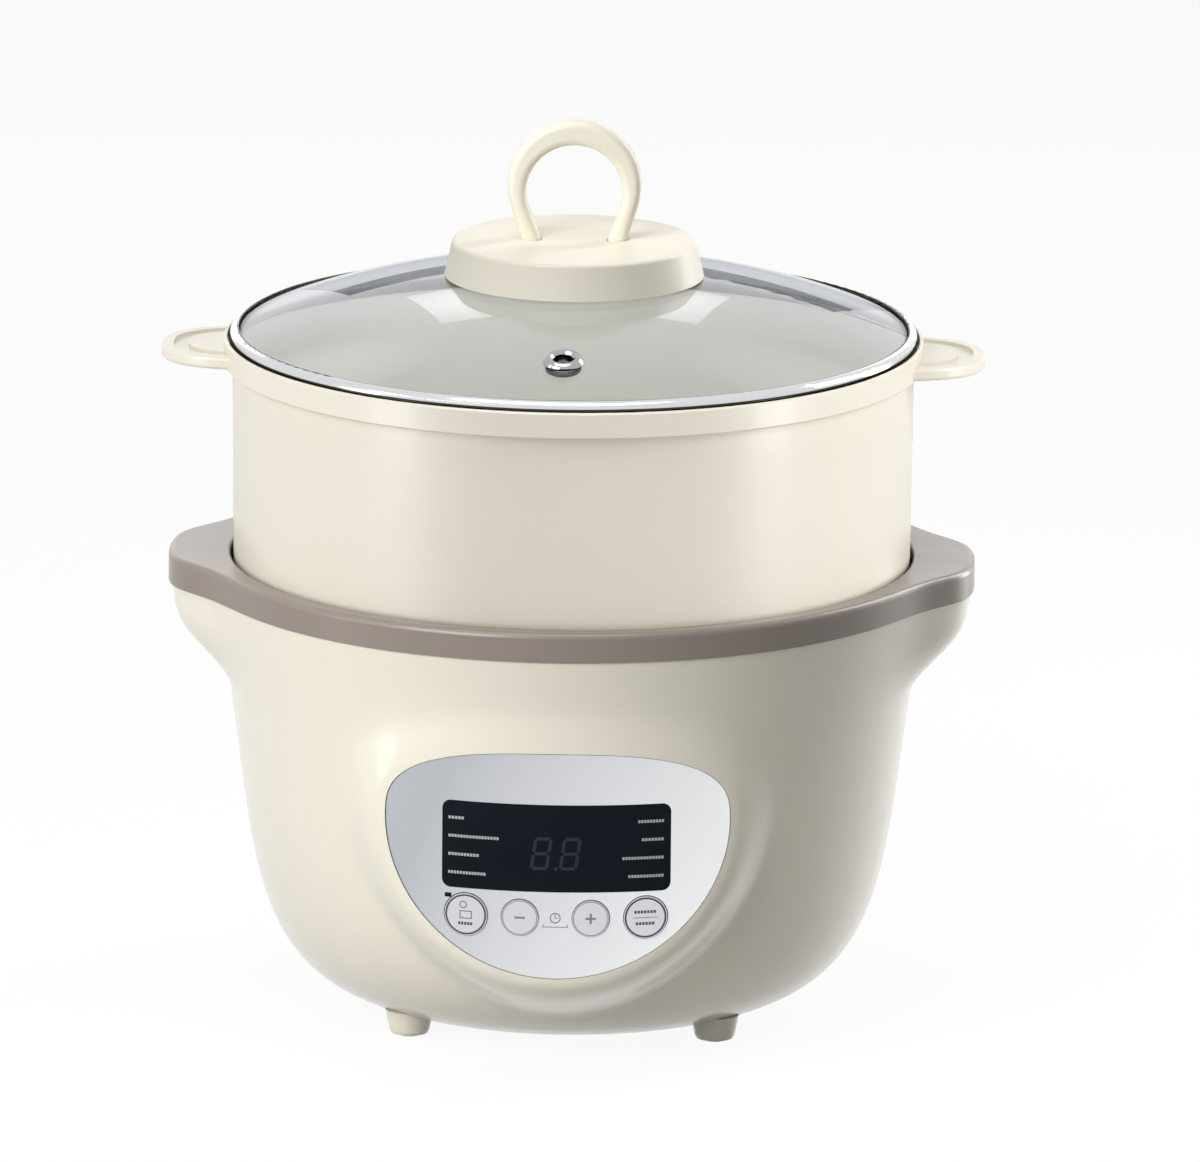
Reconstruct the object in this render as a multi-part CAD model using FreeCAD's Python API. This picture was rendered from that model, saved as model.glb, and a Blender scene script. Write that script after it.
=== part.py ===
import FreeCAD
import Part
import math
import os

# Electric stew pot with a steamer tier and a domed glass lid. Millimetres, +Z up, front at -Y.
# The origin is on the pot's axis at the level of the table.

# Clearances
SLIP_GAP = 0.25
REST_GAP = 0.2
THREAD_GAP = 0.1
SEAT_GAP = 0.3

# Steamer tier
STEAMER_RADIUS = 117.6
STEAMER_SPREAD = 0.7
STEAMER_WALL = 2.6
STEAMER_HEIGHT = 75.0
STEAMER_BAND_HEIGHT = 9.2
STEAMER_BAND_STAND = 3.1
STEAMER_LIP = 1.2
LID_LEDGE_DROP = 4.7
FOOT_CHAMFER = 1.4
SPIGOT_DEPTH = 4.5
SPIGOT_WALL = 3.5
SPIGOT_GAP = 1.5
STEAM_HOLE_RADIUS = 2.5
STEAM_HOLE_PITCH = 17.0
STEAM_HOLE_RINGS = 4
TAB_REACH = 21.6
TAB_HALF_WIDTH = 27.0
TAB_THICKNESS = 4.4
TAB_ROUNDNESS = 2.6
TAB_EDGE = 1.2
TAB_DROP = 3.7
TAB_OUTLINE_STEP = 5
TAB_GROOVE_MARGIN = 4.2
TAB_GROOVE_WIDTH = 5.2
TAB_GROOVE_DEPTH = 1.2

# Ceramic pot
POT_INSET = 15.6
POT_WALL = 6.0
POT_HEIGHT = 103.5
POT_CORNER = 26.0
POT_RIM_THICKNESS = 6.0
POT_RIM_INSET = 0.8

# Heating well and its seal
WELL_GAP = 1.5
WELL_WALL = 1.2
WELL_FLOOR_GAP = 1.0
SEAL_THICKNESS = 2.8
SEAL_WIDTH = 8.0
SHELF_WIDTH = 9.0
SHELF_THICKNESS = 3.0

# Taupe top rim
RIM_GAP = 1.2
COLLAR_WALL = 2.2
RIM_HEIGHT = 10.2
RIM_DROP = 2.0
RIM_OVERHANG = 0.5
RIM_EAR_REACH = 13.7
RIM_SKIRT = 2.6
RIM_TOP_WALL = 2.6
RIM_EDGE = 2.0
RIM_BOSS_RADIUS = 3.6
EAR_POST_RADIUS = 5.2
RIM_SCREW_ACROSS = 13.0
RIM_SCREW_INSET = 9.5

# Outer housing
SHOULDER_ROOM = 2.4
HOUSING_WALL = 2.6
SHOULDER_HEIGHT = 43.5
SHOULDER_FLARE = 2.7
BOWL_DRAFT = 0.13
BOWL_FULLNESS = 4.7
BOWL_BELLY = 3.3
EAR_REACH = 13.8
EAR_START_DROP = 36.6
EAR_FULL_DROP = 10.5
EAR_HALF_ANGLE = 14.5
EAR_SQUARENESS = 4.5
GROUND_CLEARANCE = 4.5
HOUSING_LEVELS = 36
LEVEL_CROWDING = 1.5
FINE_STEP = 1.5
COARSE_STEP = 2.0
FINE_HALF_ANGLE = 48.0

# Control panel and the pod that carries it
PANEL_STAND = 4.3
PANEL_HALF_WIDTH = 59.2
PANEL_RISE = 25.2
PANEL_FALL = 53.9
PANEL_DROP = 58.5
PANEL_TOP_ROUNDNESS = 2.7
PANEL_BOTTOM_ROUNDNESS = 2.0
PANEL_THICKNESS = 2.4
PANEL_LEDGE = 2.4
POD_LIP = 1.4
POD_LIP_STAND = 0.4
POD_BLEND = 20.0
POD_WALL = 5.2
PANEL_OUTLINE_STEP = 6
WINDOW_WIDTH = 78.6
WINDOW_HEIGHT = 30.8
WINDOW_DROP = 8.0
WINDOW_CORNER = 3.0
WINDOW_THICKNESS = 1.5
WINDOW_LEDGE = 1.5

# Buttons and switches
OUTER_BUTTON_RADIUS = 7.4
INNER_BUTTON_RADIUS = 6.3
OUTER_BUTTON_ACROSS = 30.9
INNER_BUTTON_ACROSS = 12.2
BUTTON_DROP = 32.5
BUTTON_STAND = 0.7
BUTTON_FLANGE = 1.1
BUTTON_FLANGE_THICKNESS = 1.4
BUTTON_TRAVEL = 0.6
STEM_RADIUS = 1.6
PLUNGER_RADIUS = 1.5
PLUNGER_LENGTH = 2.4
SWITCH_SIZE = 6.0
SWITCH_DEPTH = 3.6

# Control board behind the panel
BOARD_THICKNESS = 1.6
CONTROL_BOARD_GAP = 1.5
CONTROL_BOARD_MARGIN = 7.0
CONTROL_BOARD_HALF_WIDTH = 44.0
DISPLAY_WIDTH = 64.0
DISPLAY_HEIGHT = 26.0
DISPLAY_DEPTH = 5.6
DISPLAY_EDGE = 0.6
POST_RADIUS = 2.8
UPPER_POST_ACROSS = 38.0
UPPER_POST_RISE = 10.5
LOWER_POST_ACROSS = 19.0
LOWER_POST_DROP = 42.0
PANEL_SCREW_GRIP = 3.0

# Underside, feet and screws
COVER_RADIUS = 54.0
COVER_THICKNESS = 3.0
COVER_SEAT_WIDTH = 6.0
COVER_BOSS_HEIGHT = 7.0
COVER_BOSS_RADIUS = 4.0
COVER_SCREW_ANGLE = 35.0
COVER_SLOT_LENGTH = 14.0
COVER_SLOT_WIDTH = 2.4
COVER_SLOT_START = 6.0
COVER_SLOT_COUNT = 6
FOOT_SPREAD = 53.0
FOOT_TOP_RADIUS = 8.4
FOOT_BOTTOM_RADIUS = 6.4
FOOT_CHAMFER_DROP = 1.2
FOOT_SEAT_HEIGHT = 9.0
FOOT_BOSS_WALL = 2.0
FOOT_BOSS_RISE = 8.0
PAD_RADIUS = 3.9
PAD_STAND = 0.8
PAD_THICKNESS = 2.0
SCREW_RADIUS = 1.5
SCREW_HEAD_RADIUS = 2.8
SCREW_HEAD_HEIGHT = 1.8
SMALL_SCREW_RADIUS = 1.1
SMALL_HEAD_RADIUS = 2.1
SMALL_HEAD_HEIGHT = 1.4
RECESS_REACH = 0.62
RECESS_WIDTH = 0.3
RECESS_DEPTH = 0.6

# Power board and its parts
BOARD_POST_HEIGHT = 5.5
BOARD_HALF_WIDTH = 36.0
BOARD_FRONT = -24.0
BOARD_REAR = 32.0
BOARD_HOLE_INSET = 5.0
TRANSFORMER_CORE_SIZE = (22.0, 10.8, 11.5)
TRANSFORMER_COIL_SIZE = (13.2, 18.0, 9.2)
RELAY_SIZE = (19.0, 15.0, 11.0)
RELAY_REAR_SHIFT = 4.0
RELAY_EDGE = 1.0
CAPACITOR_RADIUS = 5.0
CAPACITOR_HEIGHT = 11.0
CAPACITOR_EDGE = 0.8
TERMINAL_SIZE = (32.0, 9.0, 9.0)
TERMINAL_PITCH = 6.4
TERMINAL_HOLE_RADIUS = 1.6
PARTS_ROOM = 14.0

# Heater
SHIELD_RADIUS = 62.0
SHIELD_THICKNESS = 0.6
SHIELD_FLANGE = 3.0
SHIELD_GAP = 9.7
SHIELD_HOLE_GAP = 1.0
SPACER_RADIUS = 3.0
SPACER_RING = 53.0
PLATE_RADIUS = 60.0
PLATE_THICKNESS = 8.0
STUD_RADIUS = 2.0
STUD_RING = 28.0
STUD_LENGTH = 12.0
STUD_COUNT = 3
STUD_ANGLE = 30.0
NUT_RADIUS = 4.0
NUT_HEIGHT = 3.0
ELEMENT_RING = 43.0
ELEMENT_RADIUS = 3.3
ELEMENT_GAP_ANGLE = 34.0
TERMINAL_PIN_LENGTH = 6.5
THERMOSTAT_RADIUS = 8.0
THERMOSTAT_HEIGHT = 7.0
THERMOSTAT_BODY_RADIUS = 6.4
THERMOSTAT_TAB_REACH = 12.0
THERMOSTAT_TAB_WIDTH = 4.0
THERMOSTAT_TAB_THICKNESS = 1.0
SENSOR_RADIUS = 6.0
SENSOR_NECK_RADIUS = 3.6
SENSOR_HEIGHT = 6.0
FUSE_RADIUS = 2.2
FUSE_LENGTH = 13.0
FUSE_STRAP = 1.2

# Power inlet at the rear
INLET_HEIGHT = 42.0
INLET_HALF_WIDTH = 13.5
INLET_HALF_HEIGHT = 10.0
INLET_DEPTH = 20.0
INLET_WALL = 1.6
INLET_FLANGE = 2.0
INLET_FLANGE_THICKNESS = 2.4
INLET_CORNER = 3.0
INLET_PAD_MARGIN = 6.5
INLET_PAD_WALL = 3.4
INLET_PAD_STAND = 1.5
INLET_FLOOR = 2.0
PIN_WIDTH = 4.0
PIN_THICKNESS = 2.0
PIN_LENGTH = 10.5
PIN_TAIL = 4.0
PIN_PITCH = 7.0
PIN_RISE = 3.0

# Leads and the panel's flat cable
LEAD_RADIUS = 1.2
LEAD_BEND = 5.0
CABLE_WIDTH = 12.0
CABLE_THICKNESS = 0.9
CABLE_BEND = 7.0
CABLE_OVERLAP = 6.0

# Glass lid
GLASS_RADIUS = 311.0
GLASS_THICKNESS = 4.0
GLASS_EDGE_GAP = 0.3
LID_RIM_WALL = 1.6
LID_RIM_GAP = 1.0
LID_RIM_HEIGHT = 6.5
LID_RIM_FLANGE = 2.7
LID_RIM_FLOOR = 1.6
LID_RIM_CURL = 1.4
VENT_RING = 91.0
VENT_RADIUS = 7.0
VENT_HOLE_RADIUS = 3.4
VENT_TUBE_RADIUS = 4.8
VENT_STAND = 1.8
VENT_FOOT_RADIUS = 6.2

# Knob
KNOB_TOP_RADIUS = 42.2
KNOB_BOTTOM_RADIUS = 45.0
KNOB_HEIGHT = 12.3
KNOB_CROWN = 0.8
KNOB_WALL = 3.0
KNOB_LIFT = 0.5
KNOB_EDGE = 1.4
KNOB_DISH_RADIUS = 21.0
KNOB_DISH_DEPTH = 1.0
HUB_RADIUS = 9.0
GASKET_THICKNESS = 1.0
KNOB_SCREW_RADIUS = 2.5
KNOB_SCREW_HEAD_RADIUS = 5.0
KNOB_SCREW_HEAD_HEIGHT = 2.2
KNOB_SCREW_GRIP = 6.0
WASHER_RADIUS = 9.0
WASHER_THICKNESS = 1.2
LOOP_RADIUS = 23.2
LOOP_HEIGHT = 42.7
LOOP_TOP_BAR = 9.0
LOOP_HOLE_RADIUS = 16.7
LOOP_LEG_ACROSS = 15.1
LOOP_LEG_WIDTH = 7.0
LOOP_DEPTH = 8.4
LOOP_ROUND = 2.8
LOOP_BEND = 8.0
LOOP_SOCKET_DEPTH = 5.0
LOOP_SOCKET_WALL = 2.6
LOOP_SOCKET_FLOOR = 1.6
LOOP_PILOT_DEPTH = 6.0

# Heights worked out from the pieces that stand on each other
UNDERSIDE_Z = GROUND_CLEARANCE
COVER_TOP_Z = UNDERSIDE_Z + COVER_THICKNESS
BOARD_Z = COVER_TOP_Z + BOARD_POST_HEIGHT
BOARD_TOP_Z = BOARD_Z + BOARD_THICKNESS
SHIELD_Z = BOARD_TOP_Z + PARTS_ROOM
SHIELD_TOP_Z = SHIELD_Z + SHIELD_THICKNESS
PLATE_Z = SHIELD_TOP_Z + SHIELD_GAP
WELL_BOTTOM_Z = PLATE_Z + PLATE_THICKNESS
WELL_FLOOR_Z = WELL_BOTTOM_Z + WELL_WALL
POT_Z = WELL_FLOOR_Z + WELL_FLOOR_GAP
POT_TOP_Z = POT_Z + POT_HEIGHT
POT_RIM_Z = POT_TOP_Z - POT_RIM_THICKNESS
SEAL_TOP_Z = POT_RIM_Z - REST_GAP
FLANGE_TOP_Z = SEAL_TOP_Z - SEAL_THICKNESS
SHELF_TOP_Z = FLANGE_TOP_Z - WELL_WALL
RIM_SEAT_Z = POT_TOP_Z - RIM_DROP
RIM_TOP_Z = RIM_SEAT_Z + RIM_HEIGHT
WAIST_Z = RIM_SEAT_Z - SHOULDER_HEIGHT
PANEL_Z = RIM_SEAT_Z - PANEL_DROP
STEAMER_Z = POT_TOP_Z + REST_GAP
BAND_Z = STEAMER_Z + STEAMER_HEIGHT
BAND_TOP_Z = BAND_Z + STEAMER_BAND_HEIGHT
LEDGE_Z = BAND_TOP_Z - LID_LEDGE_DROP
LID_Z = LEDGE_Z + REST_GAP

# Radii worked out from the steamer outwards and inwards
RIM_OPENING = STEAMER_RADIUS + RIM_GAP
COLLAR_RADIUS = RIM_OPENING + COLLAR_WALL
SHOULDER_RADIUS = COLLAR_RADIUS + SHOULDER_ROOM + HOUSING_WALL
RIM_RADIUS = SHOULDER_RADIUS + RIM_OVERHANG
WAIST_RADIUS = SHOULDER_RADIUS - BOWL_DRAFT * SHOULDER_HEIGHT - SHOULDER_FLARE
PANEL_RADIUS = WAIST_RADIUS + PANEL_STAND
PANEL_BACK_RADIUS = PANEL_RADIUS - PANEL_THICKNESS
POT_RADIUS = STEAMER_RADIUS - POT_INSET
POT_BORE = POT_RADIUS - POT_WALL
WELL_RADIUS = POT_RADIUS + WELL_GAP
BAND_RADIUS = STEAMER_RADIUS + STEAMER_SPREAD + STEAMER_BAND_STAND
LIP_BORE = BAND_RADIUS - STEAMER_LIP
LID_RADIUS = LIP_BORE - LID_RIM_GAP
GLASS_EDGE = LID_RADIUS - LID_RIM_WALL - GLASS_EDGE_GAP

# Depths behind the panel
CONTROL_BOARD_BACK_Y = -(WELL_RADIUS + WELL_WALL + CONTROL_BOARD_GAP)
CONTROL_BOARD_FRONT_Y = CONTROL_BOARD_BACK_Y - BOARD_THICKNESS
SWITCH_FRONT_Y = CONTROL_BOARD_FRONT_Y - SWITCH_DEPTH
BUTTON_Z = PANEL_Z - BUTTON_DROP

# Glass dome: outer apex from the height of its edge inside the lid's band
GLASS_EDGE_TOP_Z = LID_Z + LID_RIM_HEIGHT
GLASS_CENTRE_Z = GLASS_EDGE_TOP_Z - math.sqrt(GLASS_RADIUS ** 2 - GLASS_EDGE ** 2)
GLASS_TOP_Z = GLASS_CENTRE_Z + GLASS_RADIUS
KNOB_Z = GLASS_CENTRE_Z + math.sqrt(GLASS_RADIUS ** 2 - KNOB_BOTTOM_RADIUS ** 2) + KNOB_LIFT
KNOB_TOP_Z = KNOB_Z + KNOB_HEIGHT

UP = FreeCAD.Vector(0, 0, 1)
INWARD = FreeCAD.Vector(0, 1, 0)
ORIGIN = FreeCAD.Vector(0, 0, 0)
FAR = 400.0
TOUCH = 0.01
HALVINGS = 40


def vec(x, y, z):
    return FreeCAD.Vector(x, y, z)


def smooth(t):
    """Eased step from 0 to 1."""
    t = min(max(t, 0.0), 1.0)
    return t * t * (3 - 2 * t)


def rod(radius, start, length, direction=UP):
    return Part.makeCylinder(radius, length, start, direction)


def ring(inner, outer, z0, z1):
    return rod(outer, vec(0, 0, z0), z1 - z0).cut(rod(inner, vec(0, 0, z0), z1 - z0))


def block(x0, x1, y0, y1, z0, z1):
    return Part.makeBox(x1 - x0, y1 - y0, z1 - z0, vec(x0, y0, z0))


def turned(*corners):
    """Solid of revolution. A corner is (radius, height), after the mid radius and mid height of an arc."""
    edges = []
    first = vec(corners[0][-2], 0, corners[0][-1])
    here = first
    for corner in corners[1:]:
        there = vec(corner[-2], 0, corner[-1])
        if len(corner) == 4:
            edges.append(Part.Arc(here, vec(corner[0], 0, corner[1]), there).toShape())
        else:
            edges.append(Part.LineSegment(here, there).toShape())
        here = there
    edges.append(Part.LineSegment(here, first).toShape())
    return Part.Face(Part.Wire(edges)).revolve(ORIGIN, UP, 360)


def rounded(shape, radius, wanted):
    """Fillet on the edges that the test picks."""
    return shape.makeFillet(radius, [edge for edge in shape.Edges if wanted(edge)])


def closed_curve(points, places=None):
    """Smooth closed curve through points. Outlines that share their places along the curve loft cleanly."""
    if places is None:
        places = [float(index) for index in range(len(points) + 1)]
    curve = Part.BSplineCurve()
    curve.interpolate(Points=points, PeriodicFlag=True, Parameters=places)
    return Part.Wire(curve.toShape())


def prism(wire, direction):
    return Part.Face(wire).extrude(direction)


def bored(shape, places, radius, start, length, direction=UP):
    """Round holes through a shape at each place."""
    holes = [rod(radius, place + direction * start, length, direction) for place in places]
    return shape.cut(holes)


def cross_recess(place, head_radius, head_height, direction):
    """Cross that a screwdriver goes into, sunk into a screw head from the place."""
    reach = head_radius * RECESS_REACH
    half = head_radius * RECESS_WIDTH / 2
    depth = head_height * RECESS_DEPTH
    cross = block(-reach, reach, -half, half, 0, depth).fuse(block(-half, half, -reach, reach, 0, depth))
    cross.Placement = FreeCAD.Placement(place, FreeCAD.Rotation(UP, direction))
    return cross


def screw(place, head_radius, head_height, shank_radius, shank_length, direction=UP):
    """Screw driven along its direction, with the underside of its head at the place."""
    face = place - direction * head_height
    body = rod(head_radius, face, head_height, direction)
    body = body.fuse(rod(shank_radius, place, shank_length, direction))
    return body.cut(cross_recess(face, head_radius, head_height, direction))


def rounded_path(points, bend):
    """Straight runs joined by tangent arcs."""
    edges = []
    here = points[0]
    for before, corner, after in zip(points, points[1:], points[2:]):
        back = (before - corner).normalize()
        onward = (after - corner).normalize()
        half = back.getAngle(onward) / 2
        reach = bend / math.tan(half)
        start = corner + back * reach
        end = corner + onward * reach
        toward = (back + onward).normalize()
        middle = corner + toward * (bend / math.sin(half) - bend)
        edges.append(Part.LineSegment(here, start).toShape())
        edges.append(Part.Arc(start, middle, end).toShape())
        here = end
    edges.append(Part.LineSegment(here, points[-1]).toShape())
    return Part.Wire(edges)


def lead(points):
    """Insulated wire along a bent route."""
    profile = Part.Wire(Part.makeCircle(LEAD_RADIUS, points[0], points[1] - points[0]))
    return rounded_path(points, LEAD_BEND).makePipeShell([profile], True, False)


def group(solids):
    return Part.makeCompound(solids)


def corners(across, along, z=0.0):
    """Four places mirrored about both axes."""
    return [vec(sx * across, sy * along, z) for sx in (-1, 1) for sy in (-1, 1)]


def polar(radius, count, z=0.0, start=0.0):
    """Places evenly spaced on a circle."""
    turns = [math.radians(start + 360.0 * i / count) for i in range(count)]
    return [vec(radius * math.cos(t), radius * math.sin(t), z) for t in turns]


# Outer housing

def ear_share(angle):
    """How much of the ear's reach the outline has at this angle from the X axis, 1 at the ear's tip."""
    off_axis = math.degrees(abs(math.asin(math.sin(math.radians(angle)))))
    return 1 / (1 + (off_axis / EAR_HALF_ANGLE) ** EAR_SQUARENESS)


def outline_angles():
    """Angles round the outline, closer together over the front."""
    front_start = 270 - FINE_HALF_ANGLE
    front_end = 270 + FINE_HALF_ANGLE
    fine_count = round((front_end - front_start) / FINE_STEP)
    coarse_count = round((360 - front_end + front_start) / COARSE_STEP)
    fine = [front_start + (front_end - front_start) * i / fine_count for i in range(fine_count)]
    coarse_span = 360 - front_end + front_start
    coarse = [front_end + coarse_span * i / coarse_count for i in range(coarse_count)]
    return fine + coarse


def polar_outline(radius_at, z):
    """Level closed curve whose distance from the axis is a function of the angle."""
    angles = outline_angles()
    points = []
    for angle in angles:
        turn = math.radians(angle)
        points.append(vec(math.cos(turn), math.sin(turn), 0) * radius_at(angle) + UP * z)
    return closed_curve(points, angles + [angles[0] + 360])


def panel_offset(x, rise):
    """How far a point of the front lies outside the panel's outline, found by halving."""
    low = POD_LIP - PANEL_RISE
    high = FAR
    roundness = PANEL_TOP_ROUNDNESS if rise > 0 else PANEL_BOTTOM_ROUNDNESS
    height = PANEL_RISE if rise > 0 else PANEL_FALL
    for _ in range(HALVINGS):
        middle = (low + high) / 2
        share = (abs(x) / (PANEL_HALF_WIDTH + middle)) ** roundness
        share += (abs(rise) / (height + middle)) ** roundness
        if share > 1:
            low = middle
        else:
            high = middle
    return high


def bowl_radius(z, inset):
    """Plain bowl of the housing, without its ears and pod."""
    waist = WAIST_RADIUS - inset
    if z >= WAIST_Z:
        rise = z - WAIST_Z
        return waist + BOWL_DRAFT * rise + SHOULDER_FLARE * (rise / SHOULDER_HEIGHT) ** 2
    drop = WAIST_Z - z
    depth = WAIST_Z - UNDERSIDE_Z + BOWL_BELLY - inset
    return (waist - BOWL_DRAFT * drop) * (1 - (drop / depth) ** BOWL_FULLNESS) ** (1 / BOWL_FULLNESS)


def housing_radius(angle, z, inset, pod_inset):
    """Distance of the housing's surface from the axis: bowl, ear flare and panel pod."""
    radius = bowl_radius(z, inset)
    ear_start = RIM_SEAT_Z - EAR_START_DROP
    ear_full = RIM_SEAT_Z - EAR_FULL_DROP
    radius += EAR_REACH * smooth((z - ear_start) / (ear_full - ear_start)) * ear_share(angle)
    facing = -math.sin(math.radians(angle))
    if facing <= 0:
        return radius
    across = PANEL_RADIUS * math.cos(math.radians(angle))
    outside = panel_offset(across, z - PANEL_Z)
    pod = 1 - smooth((outside - POD_LIP) / POD_BLEND)
    return radius + pod * (PANEL_RADIUS + POD_LIP_STAND - pod_inset - radius)


def housing_form(inset, pod_inset, z0, z1):
    """Closed solid lofted through outlines of the housing from z0 up to z1."""
    outlines = []
    for level in range(HOUSING_LEVELS + 1):
        z = z0 + (z1 - z0) * (level / HOUSING_LEVELS) ** LEVEL_CROWDING
        outlines.append(polar_outline(lambda angle: housing_radius(angle, z, inset, pod_inset), z))
    return Part.makeLoft(outlines, True, False)


def foot_places():
    return corners(FOOT_SPREAD, FOOT_SPREAD)


def cover_screw_places():
    reach = COVER_RADIUS - COVER_SEAT_WIDTH / 2
    turn = math.radians(COVER_SCREW_ANGLE)
    return corners(reach * math.cos(turn), reach * math.sin(turn))


def rim_screw_places():
    return corners(RIM_RADIUS + RIM_EAR_REACH - RIM_SCREW_INSET, RIM_SCREW_ACROSS)


def rim_screw_seat():
    """Height of the shelf under which a rim screw's head bears."""
    return RIM_SEAT_Z - EAR_FULL_DROP


def inlet_face():
    """Y of the flat pad that the power inlet is set in."""
    return bowl_radius(INLET_HEIGHT + INLET_HALF_HEIGHT + INLET_PAD_MARGIN, 0) + INLET_PAD_STAND


def rounded_block(half_width, y0, y1, z0, z1, corner):
    """Block with rounded corners round its Y axis."""
    body = block(-half_width, half_width, y0, y1, z0, z1)
    return rounded(body, corner, lambda e: abs(e.Vertexes[0].Y - e.Vertexes[-1].Y) > (y1 - y0) / 2)


def inlet_pad(margin, y0, y1):
    half_width = INLET_HALF_WIDTH + margin
    half_height = INLET_HALF_HEIGHT + margin
    corner = INLET_CORNER + margin / 2
    return rounded_block(half_width, y0, y1, INLET_HEIGHT - half_height, INLET_HEIGHT + half_height, corner)


def panel_outline(offset):
    """Closed outline of the panel in the XZ plane, grown by the offset."""
    half_width = PANEL_HALF_WIDTH + offset
    points = []
    for degrees in range(0, 360, PANEL_OUTLINE_STEP):
        turn = math.radians(degrees)
        upper = math.sin(turn) >= 0
        power = 2 / (PANEL_TOP_ROUNDNESS if upper else PANEL_BOTTOM_ROUNDNESS)
        height = (PANEL_RISE if upper else PANEL_FALL) + offset
        x = math.copysign(abs(math.cos(turn)) ** power, math.cos(turn)) * half_width
        z = math.copysign(abs(math.sin(turn)) ** power, math.sin(turn)) * height
        points.append(vec(x, 0, PANEL_Z + z))
    return closed_curve(points)


def panel_prism(offset, front, back):
    """Panel outline drawn out along Y between two depths."""
    body = prism(panel_outline(offset), vec(0, back - front, 0))
    return body.translated(vec(0, front, 0))


def outer_housing():
    outer = housing_form(0, 0, UNDERSIDE_Z, RIM_SEAT_Z)
    face = inlet_face()
    outer = outer.fuse(inlet_pad(INLET_PAD_MARGIN, face / 2, face))
    cavity = housing_form(HOUSING_WALL, POD_WALL, UNDERSIDE_Z + HOUSING_WALL, RIM_SEAT_Z + HOUSING_WALL)
    cavity = cavity.fuse(inlet_pad(INLET_PAD_MARGIN - INLET_PAD_WALL, face / 2, face - INLET_PAD_WALL))
    shelf_bore = COLLAR_RADIUS - SHELF_WIDTH
    kept = [ring(shelf_bore, COLLAR_RADIUS + SHOULDER_ROOM, SHELF_TOP_Z - SHELF_THICKNESS, SHELF_TOP_Z)]
    seat_bore = COVER_RADIUS - COVER_SEAT_WIDTH
    kept.append(ring(seat_bore, COVER_RADIUS + COVER_SEAT_WIDTH, 0, COVER_TOP_Z + COVER_THICKNESS))
    boss_height = COVER_THICKNESS + COVER_BOSS_HEIGHT
    kept += [rod(COVER_BOSS_RADIUS, p + UP * COVER_TOP_Z, boss_height) for p in cover_screw_places()]
    foot_boss_top = FOOT_SEAT_HEIGHT + FOOT_BOSS_RISE
    kept += [rod(FOOT_TOP_RADIUS + FOOT_BOSS_WALL, p, foot_boss_top) for p in foot_places()]
    kept += [rod(EAR_POST_RADIUS, p + UP * WAIST_Z, RIM_SEAT_Z - WAIST_Z) for p in rim_screw_places()]
    cavity = cavity.cut(kept)

    through = FAR
    cuts = [cavity]
    cuts.append(rod(COVER_RADIUS + SLIP_GAP, ORIGIN, COVER_TOP_Z))
    cuts.append(rod(seat_bore, ORIGIN, COVER_TOP_Z + COVER_THICKNESS))
    bore = SCREW_RADIUS + THREAD_GAP
    cuts += [rod(bore, p + UP * COVER_TOP_Z, boss_height) for p in cover_screw_places()]
    cuts += [rod(FOOT_TOP_RADIUS + SLIP_GAP, p, FOOT_SEAT_HEIGHT) for p in foot_places()]
    cuts += [rod(bore, p, foot_boss_top) for p in foot_places()]
    cuts += [rod(bore, p + UP * WAIST_Z, RIM_SEAT_Z - WAIST_Z) for p in rim_screw_places()]
    head_well = SCREW_HEAD_RADIUS + SLIP_GAP
    cuts += [rod(head_well, p + UP * WAIST_Z, rim_screw_seat() - WAIST_Z) for p in rim_screw_places()]
    recess = panel_prism(SLIP_GAP, -through, -WELL_RADIUS / 2)
    cuts.append(recess.common(ring(PANEL_BACK_RADIUS, through, 0, RIM_TOP_Z)))
    cuts.append(panel_prism(-PANEL_LEDGE, -through, -WELL_RADIUS))
    cuts.append(inlet_pad(SLIP_GAP, face / 2, face))
    return outer.cut(cuts)


# Taupe top rim

def rim_outline(inset, z):
    return polar_outline(lambda angle: RIM_RADIUS - inset + RIM_EAR_REACH * ear_share(angle), z)


def top_rim():
    body = prism(rim_outline(0, RIM_SEAT_Z), UP * RIM_HEIGHT)
    body = rounded(body, RIM_EDGE, lambda e: e.BoundBox.ZMin > RIM_TOP_Z - RIM_EDGE)
    hollow = prism(rim_outline(RIM_SKIRT, RIM_SEAT_Z), UP * (RIM_HEIGHT - RIM_TOP_WALL))
    hollow = hollow.cut(rod(COLLAR_RADIUS, vec(0, 0, RIM_SEAT_Z), RIM_HEIGHT))
    hollow = hollow.cut([rod(RIM_BOSS_RADIUS, p + UP * RIM_SEAT_Z, RIM_HEIGHT) for p in rim_screw_places()])
    collar = rod(COLLAR_RADIUS, vec(0, 0, FLANGE_TOP_Z), RIM_SEAT_Z - FLANGE_TOP_Z)
    body = body.fuse(collar).cut(hollow)
    body = body.cut(rod(RIM_OPENING, vec(0, 0, FLANGE_TOP_Z), RIM_TOP_Z - FLANGE_TOP_Z))
    body = bored(body, rim_screw_places(), SCREW_RADIUS + THREAD_GAP, RIM_SEAT_Z, RIM_HEIGHT - RIM_TOP_WALL)
    inner_edge = RIM_EDGE / 2
    return rounded(body, inner_edge, lambda e: is_circle_at(e, RIM_OPENING, RIM_TOP_Z))


def is_circle_at(edge, radius, z):
    """True for a level round edge of this radius and height."""
    if edge.Degenerated or not isinstance(edge.Curve, Part.Circle):
        return False
    return abs(edge.Curve.Radius - radius) < TOUCH and abs(edge.Curve.Center.z - z) < TOUCH


def rim_screws():
    length = RIM_SEAT_Z + RIM_HEIGHT - 2 * RIM_TOP_WALL - rim_screw_seat()
    return group([
        screw(p + UP * rim_screw_seat(), SCREW_HEAD_RADIUS, SCREW_HEAD_HEIGHT, SCREW_RADIUS, length)
        for p in rim_screw_places()
    ])


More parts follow.
